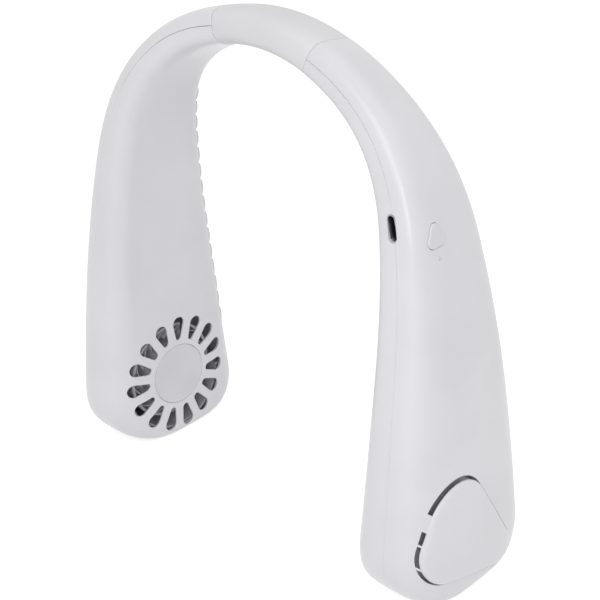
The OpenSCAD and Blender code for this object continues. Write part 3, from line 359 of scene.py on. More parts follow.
def finishPiece(mesh, side, onArm=True, sharpAngle=35):
    # Smooth shading with sharp edges. Corners within 0.03 mm of the arm's skin get the skin's own slope,
    # where their face looks the same way. Then the mesh is put into metres.
    nearSkin, sameWay = 0.03, 0.9
    points = pulled(mesh.vertices, "co", 3)
    if side == leftSide:
        mesh.vertices.foreach_set("co", (points * (-1, 1, 1)).astype(np.float32).ravel())
        mesh.flip_normals()
    mesh.shade_smooth()
    mesh.set_sharp_from_angle(angle=math.radians(sharpAngle))
    if onArm:
        corners = pulled(mesh.loops, "vertex_index", kind=np.int32)
        normals = pulled(mesh.corner_normals, "vector", 3)
        sizes = pulled(mesh.polygons, "loop_total", kind=np.int32)
        facing = np.repeat(pulled(mesh.polygons, "normal", 3), sizes, axis=0)
        slopes, depths = skinNormals(points)
        slopes = slopes * (side, 1, 1)
        use = (np.abs(depths[corners]) < nearSkin) & ((facing * slopes[corners]).sum(-1) > sameWay)
        normals[use] = slopes[corners][use]
    mesh.vertices.foreach_set("co", (points * (side * mm, mm, mm)).astype(np.float32).ravel())
    if onArm:
        mesh.normals_split_custom_set(normals.tolist())
    mesh.update()
    return makeObject(mesh)


def sideName(side, name):
    # The side's word before a name
    return ("right_" if side == rightSide else "left_") + name


def circleOf(count):
    # Equal steps round a circle of radius 1
    a = np.linspace(0, 2 * math.pi, count, endpoint=False)
    return np.stack([np.cos(a), np.sin(a)], -1)


def quarter(count):
    # Equal steps round a quarter circle: 1 - cos a and 1 - sin a
    a = np.radians(np.linspace(0, 90, count))
    return np.stack([1 - np.cos(a), 1 - np.sin(a)], -1)


def spread(flat, right, up):
    # Flat points laid along two directions
    return flat[:, :1] * right + flat[:, 1:] * up


# Outlines round circles joined by straight tangents, and holes with rounded rims
def outlinePoints(circles, grow=0, perArc=16, perLine=8):
    # Circles run anticlockwise as (x, y, radius). A tangent's normal leans by the change of radius.
    c = np.array(circles, float)
    if len(c) == 1:
        return c[0, :2] + (c[0, 2] + grow) * circleOf(perArc)
    ahead = np.roll(c, -1, 0) - c
    apart = np.hypot(ahead[:, 0], ahead[:, 1])
    normal = np.arctan2(ahead[:, 1], ahead[:, 0]) - np.arccos(-ahead[:, 2] / apart)
    before = np.roll(normal, 1)
    sweep = (normal - before) % (2 * math.pi)
    a = before[:, None] + sweep[:, None] * np.linspace(0, 1, perArc)
    arcs = c[:, None, :2] + (c[:, 2] + grow)[:, None, None] * np.stack([np.cos(a), np.sin(a)], -1)
    t = (np.arange(perLine) + 1)[None, :, None] / (perLine + 1)
    lines = arcs[:, -1:, :] * (1 - t) + np.roll(arcs[:, :1, :], -1, 0) * t
    return np.concatenate([arcs, lines], 1).reshape(-1, 2)


def rimProfile(radius, steps=4):
    # Offset r(1 - cos a) and depth r(1 - sin a) down to the straight wall. The quarter circle starts at
    # 75 degrees. Above it the cut goes on straight past the skin, and then rises square to it.
    over, clear = 0.1, 3
    a = np.radians(np.linspace(75, 0, steps))
    rows = [(radius * (1 - math.cos(x)), radius * (1 - math.sin(x))) for x in a]
    out = (rows[0][1] + over) / math.cos(a[0])
    top = (rows[0][0] + out * math.sin(a[0]), -over)
    return [(top[0], -clear), top] + rows


def holeSolid(place, circles, profile, levels=(), perArc=16, perLine=8):
    # Rows follow the skin at an offset and a depth; levels are an offset and a fixed height over the place
    origin, right, up, out = (np.array(v, float) for v in place)

    def base(offset):
        return origin + spread(outlinePoints(circles, offset, perArc, perLine), right, up)

    rows = [onSkin(base(offset), out) - depth * out for offset, depth in profile]
    return loftSolid(rows + [base(offset) + height * out for offset, height in levels])


def rodSolid(place, radius, low, high, bevel=0, count=40):
    # A round rod along the place's outward direction, with bevelled ends
    origin, right, up, out = (np.array(v, float) for v in place)
    rows = [(radius, low), (radius, high)]
    if bevel:
        rows = [(radius - bevel, low), (radius, low + bevel), (radius, high - bevel), (radius - bevel, high)]
    return loftSolid([origin + r * spread(circleOf(count), right, up) + h * out for r, h in rows])


def polar(turn, reach=1):
    # Across and up at a turn in degrees
    a = math.radians(turn)
    return reach * math.cos(a), reach * math.sin(a)


fan = {"height": 27.6, "back": 1.6}
fanShare = 1 - fan["height"] / armLength
fanX = float(frameAt(fanShare)[0][0])
fanPoint = (fanX, -fan["back"], fan["height"])
outerFace = (fanPoint, (0, 1, 0), (0, 0, 1), (1, 0, 0))
faceHeight = float(halfThickness(fanShare, 0))


def innerFace(turn):
    # Place on the inner face, turned about the fan's axis from the outlet side upwards
    y, z = polar(turn)
    return fanPoint, (0, y, z), (0, -z, y), (-1, 0, 0)


def onFoot(flat):
    # Points across and up from the fan's axis, in space
    return np.array(fanPoint) + np.stack([0 * flat[..., 0], flat[..., 0], flat[..., 1]], -1)


def armPlace(distance, along=0, across=0, height=0):
    # Place square to the arm at a distance, moved along it, across it and outwards
    share = distance / armLength
    centre, out, front = frameAt(share)
    tangent = alongAt(np.array(share))
    return centre + along * tangent + across * front + height * out, tangent, front, out


# Shells: a pair for each arm, split along a line that rises towards the foot
shell = {
    "wall": 1.8, "partGap": 0.1, "rimRound": 0.3,
    # the parting line's gap and rounding shrink between two shares of the length, to a share of their size
    "fainter": (0.2, 0.5, 0.3),
    # the rounding also fades over the last millimetres to the sole
    "soleFade": 3,
    "seamGap": 0.16, "rows": 120, "soleRows": 26, "columns": 104, "rightSeam": 27.4,
    "leftSeam": 17.2, "postRadius": 2.4,
    "posts": ((0.25, 0.45), (0.5, -0.35), (0.783, -0.75), (0.961, 0.72), (0.961, -0.8)),
    "pinRadius": 1, "pinLength": 4, "pinClear": 0.15,
}
cover = {
    # a corner's turn and distance from the fan's axis, and its radius
    "corners": ((-49.6, 22, 7), (142.6, 9.1, 15.1), (193, 11.6, 14.4)),
    # which way and how far the pocket's corner lies from the cover's, and how much wider it is
    "rims": ((0, 0, 0.3), (125, 2.2, 0.35), (158, 1.1, 0.35)),
    # points in each corner and along each side
    "grain": (24, 16),
    "rise": 1, "thickness": 1.3, "edge": (1.7, 0.95), "rimRound": 0.2, "pocketDepth": 6.4,
    "pocketWall": 1.4,
    # offsets and heights over the pocket's floor: the cut's lower edge, and the intake's rim
    "floorRound": ((0, 0.4), (-0.12, 0.12), (-0.4, 0)),
    "intakeRim": ((0.6, 1), (0.6, 0.1), (0.15, -0.3), (0, -0.6), (0, -5.4)), "intakeRadius": 13.5,
    "tieTurn": 138, "tieRun": 6,
    # how far the tab and the ribs pass beside the fan's axis, and their widths
    "ties": ((6.1, 6.2), (14.1, 0.7), (21.6, 0.7)),
    "posts": ((84, 15.4), (225, 15.6), (-49.6, 22)), "postRadius": 1.6,
}
coverCircles = [(*polar(turn, reach), r) for turn, reach, r in cover["corners"]]
pocketCircles = []
for (y, z, r), (turn, move, wider) in zip(coverCircles, cover["rims"]):
    pocketCircles.append((y + polar(turn, move)[0], z + polar(turn, move)[1], r + wider))
pocketFloor = faceHeight - cover["pocketDepth"]


def evenShares(outward, count):
    # Shares of the way round a half section that lie equally far apart on the foot's skin
    foot = 0.85
    t = np.linspace(-1, 1, 801)
    a = splitTurn(np.array(foot), 0, shell["rimRound"] if outward else -shell["rimRound"])
    turn = t * a if outward else 180 + t * (180 - a)
    p = ringPoints(foot, turn, 0)
    length = np.concatenate([[0], np.cumsum(np.linalg.norm(np.diff(p, axis=0), axis=1))])
    return np.interp(np.linspace(0, length[-1], count), length, t)


def shellSkins(seam, outward):
    # Two grids, the outer skin and the skin one wall under it. A rim's rounding is a quarter circle: distance
    # r(1 - cos a) from the rim with depth r(1 - sin a). The parting line gets finer down the arm.
    r = shell["rimRound"]
    near, far, finest = shell["fainter"]
    rimIn, rimDeep = (r * quarter(4)).T
    reach = arm["backCorner"] * arm["backReach"]
    start = seam + shell["seamGap"] / 2
    straight = np.linspace(start + r, armLength - reach, shell["rows"])[1:-1]
    sole = quarter(shell["soleRows"])[:, 1]
    main = evenShares(outward, shell["columns"])[1:-1]
    skins = []
    for wall in (0, shell["wall"]):
        end = armLength - wall - (reach - wall) * sole
        rows = np.concatenate([start + rimIn, straight, end])
        rowDeep = np.concatenate([rimDeep, np.zeros(len(straight) + len(end))])
        ramp = np.clip((armLength - rows) / shell["soleFade"], 0, 1)[:, None]
        share = (rows / armLength)[:, None]
        sign = 1 if outward else -1
        fine = 1 - (1 - finest) * np.clip((share - near) / (far - near), 0, 1)
        deep = np.full((len(rows), len(rimIn)), wall)
        if wall == 0:
            deep = np.maximum(rimDeep[None] * ramp * fine, rowDeep[:, None])
        edge = splitTurn(share, deep, sign * fine * (shell["partGap"] / 2 + rimIn[None]))
        last = edge[:, -1:]
        middle = main[None] * last if outward else 180 + main[None] * (180 - last)
        mid = np.broadcast_to(rowDeep[:, None] if wall == 0 else wall, middle.shape)
        if outward:
            turn = np.concatenate([-edge, middle, edge[:, ::-1]], 1)
        else:
            turn = np.concatenate([edge, middle, 360 - edge[:, ::-1]], 1)
        deep = np.broadcast_to(deep, edge.shape)
        skins.append(ringPoints(share, turn, np.concatenate([deep, mid, deep[:, ::-1]], 1)))
    return skins


def shellSolid(seam, outward):
    # The two skins with rims along three sides, closed flat at the sole
    outer, inner = shellSkins(seam, outward)
    n, m = outer.shape[:2]
    k, e = n * m, (n - 1) * m
    points, faces = skinSolid(outer, inner)
    faces = faces[:-1]
    faces += [np.arange(e, e + m)[None], np.arange(k + e + m - 1, k + e - 1, -1)[None],
              np.array([[k + e, e, e + m - 1, k + e + m - 1]])]
    return points, faces


def postPlaces(outward):
    # Each post's place on the parting line, facing its own shell, and its length to the middle of the wall
    found = []
    for share, across in shell["posts"]:
        v = across * float(halfWidth(share, across > 0, 0))
        origin, right, up, out = armPlace(share * armLength, 0, v, arm["splitRise"] * share)
        if not outward:
            up, out = -up, -out
        circle = origin + shell["postRadius"] * spread(circleOf(8), right, up)
        reach = ((onSkin(circle, out, shell["wall"] / 2) - origin) @ out).min()
        found.append(((origin, right, up, out), float(reach)))
    return found


def postRods(places):
    # Posts from just beside the parting line into the shell's wall
    return [rodSolid(place, shell["postRadius"], shell["partGap"] / 2, reach) for place, reach in places]


def seamOf(side):
    # How far from the middle the arm's shells end, where the neck band begins
    return shell["rightSeam"] if side == rightSide else shell["leftSeam"]


def pocketBlock():
    # The pocket's wall and floor, up into the shell's wall, narrower at the top
    topGrow = -3
    wide = onFoot(outlinePoints(pocketCircles, cover["pocketWall"], *cover["grain"]))
    narrow = onFoot(outlinePoints(pocketCircles, topGrow, *cover["grain"]))
    low = wide + (pocketFloor - cover["pocketWall"], 0, 0)
    return loftSolid([low] + [onSkin(row, (1, 0, 0), shell["wall"] / 2) for row in (wide, narrow)])


button = {
    "at": 94.8, "back": 8.9, "spread": 2.25, "corner": 2.3, "gap": 0.15, "rise": 0.5,
    "edgeRound": 0.45, "rimRound": 0.15, "dome": 0.12, "ledBelow": 7.3, "ledRadius": 0.55,
    "ledRound": 0.12, "flange": (5.981, 0.8, 0.7), "plunger": (1.4, 5.18),
}
usb = {"at": 89, "width": 8.94, "height": 3.16, "clear": 0.05, "rimRound": 0.2, "sink": 0.6, "depth": 7.3}
buttonPlace = armPlace(button["at"], 0, -button["back"])
buttonCircles = [(*polar(turn, button["spread"]), button["corner"]) for turn in (60, 180, 300)]


def usbHole():
    # The slot cut from the back edge into both shells, to the socket's inner end
    run, r = (usb["width"] - usb["height"]) / 2, usb["height"] / 2 + usb["clear"]
    origin, along, across, out = armPlace(button["at"], usb["at"] - button["at"])
    end = float(halfWidth(usb["at"] / armLength, False, 0)) - usb["sink"] - usb["depth"]
    return holeSolid((origin, along, -out, -across), [(-run, 0, r), (run, 0, r)], rimProfile(usb["rimRound"]),
                     ((0, end),), 14, 6)


def buildOuterShell(side):
    # The skin with the cover's pocket, the intake and the posts' bores, and on the right the button's holes
    places = postPlaces(True)
    bore, end = shell["pinRadius"] + shell["pinClear"], shell["pinLength"] + shell["pinClear"]
    bores = [rodSolid(place, bore, -1, end, count=24) for place, reach in places]
    floor, rim = ([(offset, pocketFloor + height) for offset, height in cover[name]]
                  for name in ("floorRound", "intakeRim"))
    pocket = holeSolid(outerFace, pocketCircles, rimProfile(cover["rimRound"]), floor, *cover["grain"])
    cuts = [together(bores), pocket, holeSolid(outerFace, [(0, 0, cover["intakeRadius"])], (), rim, 72)]
    if side == rightSide:
        gap, low = button["gap"], 2
        profile = [(offset + gap, depth) for offset, depth in rimProfile(button["rimRound"])]
        cuts.append(holeSolid(buttonPlace, buttonCircles, profile, ((gap, low),), 12, 4))
        place, along, across, out = buttonPlace
        lamp = (place + button["ledBelow"] * along, along, across, out)
        profile = rimProfile(button["ledRound"], 3)
        cuts.append(holeSolid(lamp, [(0, 0, button["ledRadius"])], profile, ((0, low),), 20))
        cuts.append(usbHole())
    steps = [("UNION", pocketBlock()), ("UNION", together(postRods(places)))]
    steps += [("DIFFERENCE", cut) for cut in cuts]
    mesh = carve(sideName(side, "outer_casing"), shellSolid(seamOf(side), True), steps)
    return finishPiece(mesh, side)


grille = {
    "slots": 15, "outRadius": 25.5, "inRadius": 15.2, "wide": 2.85, "narrow": 1.5, "turn": 5,
    "rimRound": 0.4, "lip": 0.75, "flare": 0.8,
    "disc": 12.95, "discGap": 0.12, "discThickness": 1.2, "discRound": 0.3, "seamRound": 0.25, "columns": 96,
}
strip = {
    "start": 73.2, "count": 15, "pitch": 7.9, "turns": (98, 128), "clear": 0.15, "rise": 0.6,
    "edgeFall": 0.25, "flange": 1.4, "flangeThickness": 0.8, "flangeTurn": 3, "slotHalf": 1.5,
    "slotRun": 0.22,
    # offsets and heights over the skin, from above the slot down to its straight wall
    "slotRim": ((0.5, 3), (0.45, 0.25), (0.12, -0.25), (0, -0.6), (0, -5)),
}
stripEnd = strip["start"] + strip["count"] * strip["pitch"]
# The air strip lies under the skin's wall by a small gap
stripUnder = shell["wall"] + 0.4


def grilleSlots():
    # Teardrops, narrow towards the middle: two circles and their tangents, wider behind a thin lip
    near, far = grille["inRadius"] + grille["narrow"], grille["outRadius"] - grille["wide"]
    circles = [(near, 0, grille["narrow"]), (far, 0, grille["wide"])]
    lip, flare = grille["lip"], grille["flare"]
    profile = rimProfile(grille["rimRound"]) + [(0, lip), (flare, lip + flare), (flare, shell["wall"] + 1)]
    turns = [360 * k / grille["slots"] + grille["turn"] - 90 for k in range(grille["slots"])]
    return together([holeSolid(innerFace(turn), circles, profile, (), 12, 8) for turn in turns])


def stripPatch(more, moreTurn, outside, inside):
    # A block between two depths, larger than the strip by a distance along it and by a turn across it
    share = np.linspace(strip["start"] - more, stripEnd + more, 121)[:, None] / armLength
    turn = np.linspace(strip["turns"][0] - moreTurn, strip["turns"][1] + moreTurn, 9)[None]
    return skinSolid(ringPoints(share, turn, outside), ringPoints(share, turn, inside))


motor = {
    "mountTop": 13.48,
    # a radius and the lower end, for both steps that carry the motor
    "shoulder": (4.6, 9.83),
    "boss": (4, 6.23),
    "bearingRadius": 2.625,
    # a screw hole's distance from the axis, radius, lower and upper end
    "screws": (10.2, 0.775, 11.03, 14.2),
}
cell = {
    "at": 147, "back": 6, "in": 1, "length": 50, "width": 23, "thickness": 9.4,
    "ribShare": 0.3, "rib": 1.6, "gap": 1.15,
}
board = {
    "low": 1.63, "run": 11.7, "across": 2.85,
    "postRadius": 2, "screwRadius": 0.825, "screwEnds": (-2.4, 3),
}


def cellRib(distance):
    # A plate from the inner skin up to the battery's pad
    origin, right, up, out = armPlace(distance)
    v = np.linspace(-cell["width"] / 2, cell["width"] / 2, 12) - cell["back"]
    skin = onSkin(origin + v[:, None] * up, -out, shell["wall"] / 2)
    top = -cell["in"] - cell["thickness"] / 2 - cell["gap"]
    rim = np.concatenate([skin, origin + v[::-1, None] * up + top * out])
    return loftSolid([rim - cell["rib"] / 2 * right, rim + cell["rib"] / 2 * right])


def discHole(radius, profile, levels=()):
    # A round solid about the fan's axis on the inner face
    return holeSolid(innerFace(0), [(0, 0, radius)], profile, levels, grille["columns"])


def motorHoles():
    # The bearing's bore and three screw holes
    ring, bore, low, high = motor["screws"]
    holes = [rodSolid(innerFace(0), motor["bearingRadius"], 0, motor["mountTop"])]
    for turn in (0, 120, 240):
        origin, right, up, out = innerFace(turn)
        holes.append(rodSolid((origin + ring * np.array(right), right, up, out), bore, low, high, count=20))
    return holes


def buildInnerShell(side):
    # The skin with the motor's mount, the disc's recess, the strip's window and the slots, then posts
    r, disc, deep = grille["disc"] + grille["discGap"], grille["disc"], grille["discThickness"] + slack
    floor = [(-0.1, deep)] + [(-r * t, deep) for t in (0.1, 0.3, 0.5, 0.7, 0.85, 0.97)]
    recess = discHole(r, rimProfile(grille["seamRound"]) + [(0, deep - 0.1)] + floor)
    mount = discHole(disc, [(-disc * t, 1) for t in (0.97, 0.8, 0.6, 0.4, 0.2, 0)], ((0, motor["mountTop"]),))
    clearTurn = math.degrees(strip["clear"] / (arm["width"][-1] / 2))
    window = stripPatch(strip["clear"], clearTurn, -1, shell["wall"] + 1)
    steps = [("UNION", mount), ("DIFFERENCE", recess), ("DIFFERENCE", window), ("DIFFERENCE", grilleSlots())]
    bosses = [rodSolid(innerFace(0), radius, low, motor["mountTop"] + 0.3)
              for radius, low in (motor["shoulder"], motor["boss"])]
    places = postPlaces(False)
    posts = postRods(places)
    pins = [rodSolid(place, shell["pinRadius"], -shell["pinLength"], 1, 0.2, 24) for place, reach in places]
    ribs = [cellRib(cell["at"] + k * cell["ribShare"] * cell["length"]) for k in (-1, 1)]
    holes = motorHoles()
    if side == rightSide:
        steps.append(("DIFFERENCE", usbHole()))
        for k in (-1, 1):
            origin, right, up, out = armPlace(button["at"], k * board["run"], board["across"])
            reach = float((onSkin(origin[None], -out, shell["wall"] / 2)[0] - origin) @ -out)
            down = (origin, right, -up, -out)
            posts.append(rodSolid(down, board["postRadius"], -board["low"] + slack, reach - 0.2, count=32))
            place = (origin, right, up, out)
            holes.append(rodSolid(place, board["screwRadius"], *board["screwEnds"], count=20))
    steps += [("UNION", solid) for solid in (*bosses, together(posts), together(pins), together(ribs))]
    steps.append(("DIFFERENCE", together(holes)))
    mesh = carve(sideName(side, "inner_casing"), shellSolid(seamOf(side), False), steps)
    return finishPiece(mesh, side)


def fitArms(builders, nodes):
    # Builds pieces for both arms. Each rides on its arm and takes its node's place.
    made = {}
    for side in (rightSide, leftSide):
        made[side] = tuple(build(side) for build in builders)
        for piece, node in zip(made[side], nodes):
            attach(piece, sideName(side, "arm"))
            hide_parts(sideName(side, node))
    return made


casings = fitArms((buildOuterShell, buildInnerShell), ("outer_shell", "inner_shell"))
print("casings carved")


def buildGrilleDisc(side):
    # A disc that follows the inner face, with a rounded edge
    r, edge, deep = grille["disc"], grille["discRound"], grille["discThickness"]
    inward = [-r * t for t in (0.98, 0.88, 0.75, 0.6, 0.45, 0.3, 0.18, 0.08)]
    rows = [(o, 0) for o in inward] + [(-edge * v, edge * u) for u, v in quarter(5)]
    rows += [(0, deep)] + [(o, deep) for o in inward[::-1]]
    mesh = makeMesh(sideName(side, "centre_disc"), *discHole(r, rows))
    return finishPiece(mesh, side, sharpAngle=50)


def tieSolid(beside, width):
    # A bar from under the cover to the pocket's rim, flush with the shell's skin. The rim counts where it is
    # more than 4 mm ahead of the fan's axis.
    c, n = polar(cover["tieTurn"])
    flat = outlinePoints(pocketCircles, 0.1, *cover["grain"])
    along, aside = flat @ (c, n), flat @ (-n, c)
    ahead = along > 4
    order = np.argsort(aside[ahead])
    b = beside + np.linspace(-width / 2, width / 2, 9)
    end = np.interp(b, aside[ahead][order], along[ahead][order])
    t = np.linspace(0, 1, 14)[:, None]
    run = (end - cover["tieRun"])[None] * (1 - t) + end[None] * t
    top = onSkin(onFoot(np.stack([run * c - b[None] * n, run * n + b[None] * c], -1)), (1, 0, 0))
    return skinSolid(top, top - (cover["thickness"], 0, 0))


def buildCover(side):
    # Rows run from the middle of the underside, round the edge and back to the middle of the face.
    # The edge is a quarter ellipse: offset e(1 - cos a) and depth f(1 - sin a).
    top, low, (e, fall) = -cover["rise"], cover["thickness"] - cover["rise"], cover["edge"]
    inward = (0.97, 0.9, 0.8, 0.68, 0.55, 0.42, 0.3, 0.18, 0.07)

    def outline(grow):
        return outlinePoints(coverCircles, grow, *cover["grain"])

    def row(points, depth):
        return onSkin(onFoot(points), (1, 0, 0)) - (depth, 0, 0)

    flat, edge = outline(0), outline(-e)
    middle = flat.mean(0)
    rows = [row(middle + (flat - middle) * k, low) for k in inward[::-1]]
    rows += [row(outline(-0.2), low), row(flat, low - 0.2)]
    rows += [row(outline(-e * u), top + fall * v) for u, v in quarter(9)]
    rows += [row(middle + (edge - middle) * k, top) for k in inward]
    posts = []
    for turn, reach in cover["posts"]:
        place = (np.array(fanPoint) + (0, *polar(turn, reach)), (0, 1, 0), (0, 0, 1), (1, 0, 0))
        height = float(onSkin(place[0][None], (1, 0, 0))[0, 0]) - fanX
        posts.append(rodSolid(place, cover["postRadius"], pocketFloor + slack, height - 0.6))
    ties = [tieSolid(*tie) for tie in cover["ties"]]
    steps = [("UNION", together(ties)), ("UNION", together(posts))]
    mesh = carve(sideName(side, "intake_lid"), loftSolid(rows), steps)
    return finishPiece(mesh, side, onArm=False, sharpAngle=40)


def buildStrip(side):
    # Scallops stand between valleys: height |sin| along the strip, fading across it as a sine.
    # Towards each edge the face falls by exp(-distance).
    perScallop, columns, count = 14, 25, strip["count"]
    t = np.linspace(0, 1, perScallop * count + 1)[:, None]
    across = np.linspace(0, 1, columns)[None]
    first, last = strip["start"] + strip["clear"], stripEnd - strip["clear"]
    rise = strip["rise"] * np.abs(np.sin(math.pi * count * t)) * np.sin(math.pi * across) ** 0.8
    turn = strip["turns"][0] + (strip["turns"][1] - strip["turns"][0]) * across
    falls = sum(np.exp(-v * steep) for v, steep in ((across, 40), (1 - across, 40), (t, 300), (1 - t, 300)))
    share = (first + (last - first) * t) / armLength
    face = ringPoints(share, turn, np.minimum(strip["edgeFall"] * falls, 0.3) - rise)
    plate = skinSolid(face, ringPoints(share, turn + 0 * rise, stripUnder + 0.4))
    low = stripUnder + strip["flangeThickness"]
    flange = stripPatch(strip["flange"], strip["flangeTurn"], stripUnder, low)
    middle = sum(strip["turns"]) / 2
    c, n = polar(middle)
    slots = []
    for k in range(1, count):
        s = (strip["start"] + k * strip["pitch"]) / armLength
        centre, out, front = frameAt(s)
        run = strip["slotRun"] * float(halfThickness(s, 0))
        place = (ringPoints(s, middle, 0), alongAt(np.array(s)), -n * out + c * front, c * out + n * front)
        circles = [(0, v, strip["slotHalf"]) for v in (-run, run)]
        slots.append(holeSolid(place, circles, (), strip["slotRim"], 12, 4))
    mesh = carve(sideName(side, "air_strip"), plate, [("UNION", flange), ("DIFFERENCE", together(slots))])
    return finishPiece(mesh, side, onArm=False, sharpAngle=50)


trims = fitArms((buildGrilleDisc, buildCover, buildStrip), ("grille_disc", "intake_cover", "outlet_strip"))
print("grille discs, intake covers and outlet strips made")


# Neck band: a soft sleeve over a spring strip and a wire bundle, between the shells' seams
band = {
    "inset": 0.12, "wall": 2.2, "edgeRound": 0.5, "springWidth": 7, "springThickness": 0.6,
    "springHeight": 1.6, "springIn": 6.85, "bundleRadius": 1.1, "wireShare": 0.41,
    # length along the bundle, in millimetres, in which its wires turn once
    "twist": 26,
    # stops of the bundle's middle: distance along the arm, outwards and to the front
    "route": ((-45, -1.7, 0), (-32, -1.7, 0), (-17, -1.7, 0), (0, -1.7, 0), (18, -1.7, 0), (36, -1.7, 0),
              (52, -1.6, 0), (66, -1.2, -1), (76, -0.2, -2), (83, 0.4, -3)),
}


def buildSleeve():
    # Rings along the band, rounded at both ends, then back inside at the wall's depth
    gap, r = shell["seamGap"] / 2, band["edgeRound"]
    first, last = -shell["leftSeam"] + gap, shell["rightSeam"] - gap
    straight = np.linspace(first + r, last - r, 64)[1:-1]
    rimIn, rimDeep = (r * quarter(7)).T
    places = np.concatenate([first + rimIn, straight, last - rimIn[::-1]])
    deep = band["inset"] + np.concatenate([rimDeep, np.zeros(len(straight)), rimDeep[::-1]])
    places = np.concatenate([places, places[::-1]])
    deep = np.concatenate([deep, np.full(len(deep), float(band["wall"]))])
    turn = np.linspace(0, 360, 128, endpoint=False)
    points = ringPoints((places / armLength)[:, None], turn[None], deep[:, None])
    n, m = points.shape[:2]
    j, k = np.arange(m), (np.arange(m) + 1) % m
    closing = np.stack([(n - 1) * m + j, (n - 1) * m + k, k, j], -1)
    mesh = makeMesh("soft_sleeve", points, [gridFaces(n, m, closed=True), closing])
    return finishPiece(mesh, rightSide, onArm=False)


def buildSpring():
    # A flat strip whose section has slightly broken corners
    half, thick = band["springWidth"] / 2, band["springThickness"] / 2
    d = np.linspace(-shell["leftSeam"] - band["springIn"], shell["rightSeam"] + band["springIn"], 60)
    centre, out, front = frameAt(d / armLength)
    corners = ((1, -1, 0.9), (1, 1, 0.9), (0.8, 1, 1), (-0.8, 1, 1),
               (-1, 1, 0.9), (-1, -1, 0.9), (-0.8, -1, 1), (0.8, -1, 1))
    rows = np.stack([centre + (band["springHeight"] + u * thick) * out + v * half * w * front
                     for u, v, w in corners], 1)
    return finishPiece(makeMesh("spring_strip", *loftSolid(rows)), rightSide, onArm=False)


def smoothRoute(route, parts):
    # Catmull and Rom's curve through the points, with repeated ends
    p = np.array(route, float)
    p = np.concatenate([p[:1], p, p[-1:]])
    t = (np.arange(parts) / parts)[None, :, None]
    a, b, c, d = (p[k:len(p) - 3 + k, None] for k in range(4))
    square, cube = a - 2.5 * b + 2 * c - d / 2, 1.5 * (b - c) + (d - a) / 2
    line = b + t * (c - a) / 2 + t * t * square + t ** 3 * cube
    return np.concatenate([line.reshape(-1, 3), p[-1:]])


def buildBundle():
    # Four insulated wires twisted round each other along the bundle's route. Their middles lie a little over
    # the square root of 2 radii from the bundle's middle, so that neighbours don't touch.
    stops = []
    for distance, height, aside in band["route"]:
        centre, out, front = frameAt(distance / armLength)
        stops.append(centre + height * out + aside * front)
    line = smoothRoute(stops, 10)
    ahead = unit(np.gradient(line, axis=0))
    beside = unit(np.cross(ahead, (0, 1, 0)))
    above = np.cross(beside, ahead)
    length = np.concatenate([[0], np.cumsum(np.linalg.norm(np.diff(line, axis=0), axis=1))])
    wire = band["bundleRadius"] * band["wireShare"]
    circle = spread(circleOf(10), beside[:, None], above[:, None])
    parts = []
    for k in range(4):
        twist = 2 * math.pi * (length / band["twist"] + k / 4)
        middle = line + wire * 1.42 * (column(np.cos(twist)) * beside + column(np.sin(twist)) * above)
        parts.append(loftSolid(middle[:, None] + wire * 0.98 * circle))
    mesh = makeMesh("wire_bundle", *together(parts))
    return finishPiece(mesh, rightSide, onArm=False, sharpAngle=60)


sleeve, springStrip, wireBundle = buildSleeve(), buildSpring(), buildBundle()
bandStart = tuple(float(v) * mm for v in frameAt(-shell["leftSeam"] / armLength)[0])
bandEnd = tuple(float(v) * mm for v in frameAt(shell["rightSeam"] / armLength)[0])
for piece, node in ((sleeve, "neck_sleeve"), (springStrip, "neck_spring"), (wireBundle, "neck_harness")):
    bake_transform(piece)
    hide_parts(node)
print("neck band made")


def buildButton():
    # The key's face follows the skin, with a skirt and a plunger below.
    # Its edge is a quarter round: offset e(1 - cos a) and depth e(1 - sin a).
    top, e = -button["rise"], button["edgeRound"]
    origin, right, up, out = buttonPlace

    def outline(grow):
        return outlinePoints(buttonCircles, grow, 14, 6)

    def level(points, height=0):
        return origin + spread(points, right, up) + height * out

    def row(points, depth):
        return onSkin(level(points), out) - depth * out

    skirt, thick, grow = button["flange"]
    flat, wide, edge = outline(0), outline(grow), outline(-e)
    rows = [level(wide * 0.1, skirt - thick), level(wide, skirt - thick), level(wide, skirt)]
    rows += [level(flat, skirt), row(flat, 0.3)]
    rows += [row(outline(-e * u), top + e * v) for u, v in quarter(6)]
    rows += [row(edge * k, top + button["dome"] * (1 - k * k)) for k in (0.9, 0.75, 0.55, 0.35, 0.15, 0.04)]
    radius, low = button["plunger"]
    plunger = rodSolid(buttonPlace, radius, low, skirt - thick / 2)
    mesh = carve("button_key", loftSolid(rows), [("UNION", plunger)])
    return finishPiece(mesh, rightSide, onArm=False, sharpAngle=40)


key = buildButton()
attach(key, "button")
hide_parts("power_button")
print("button made")


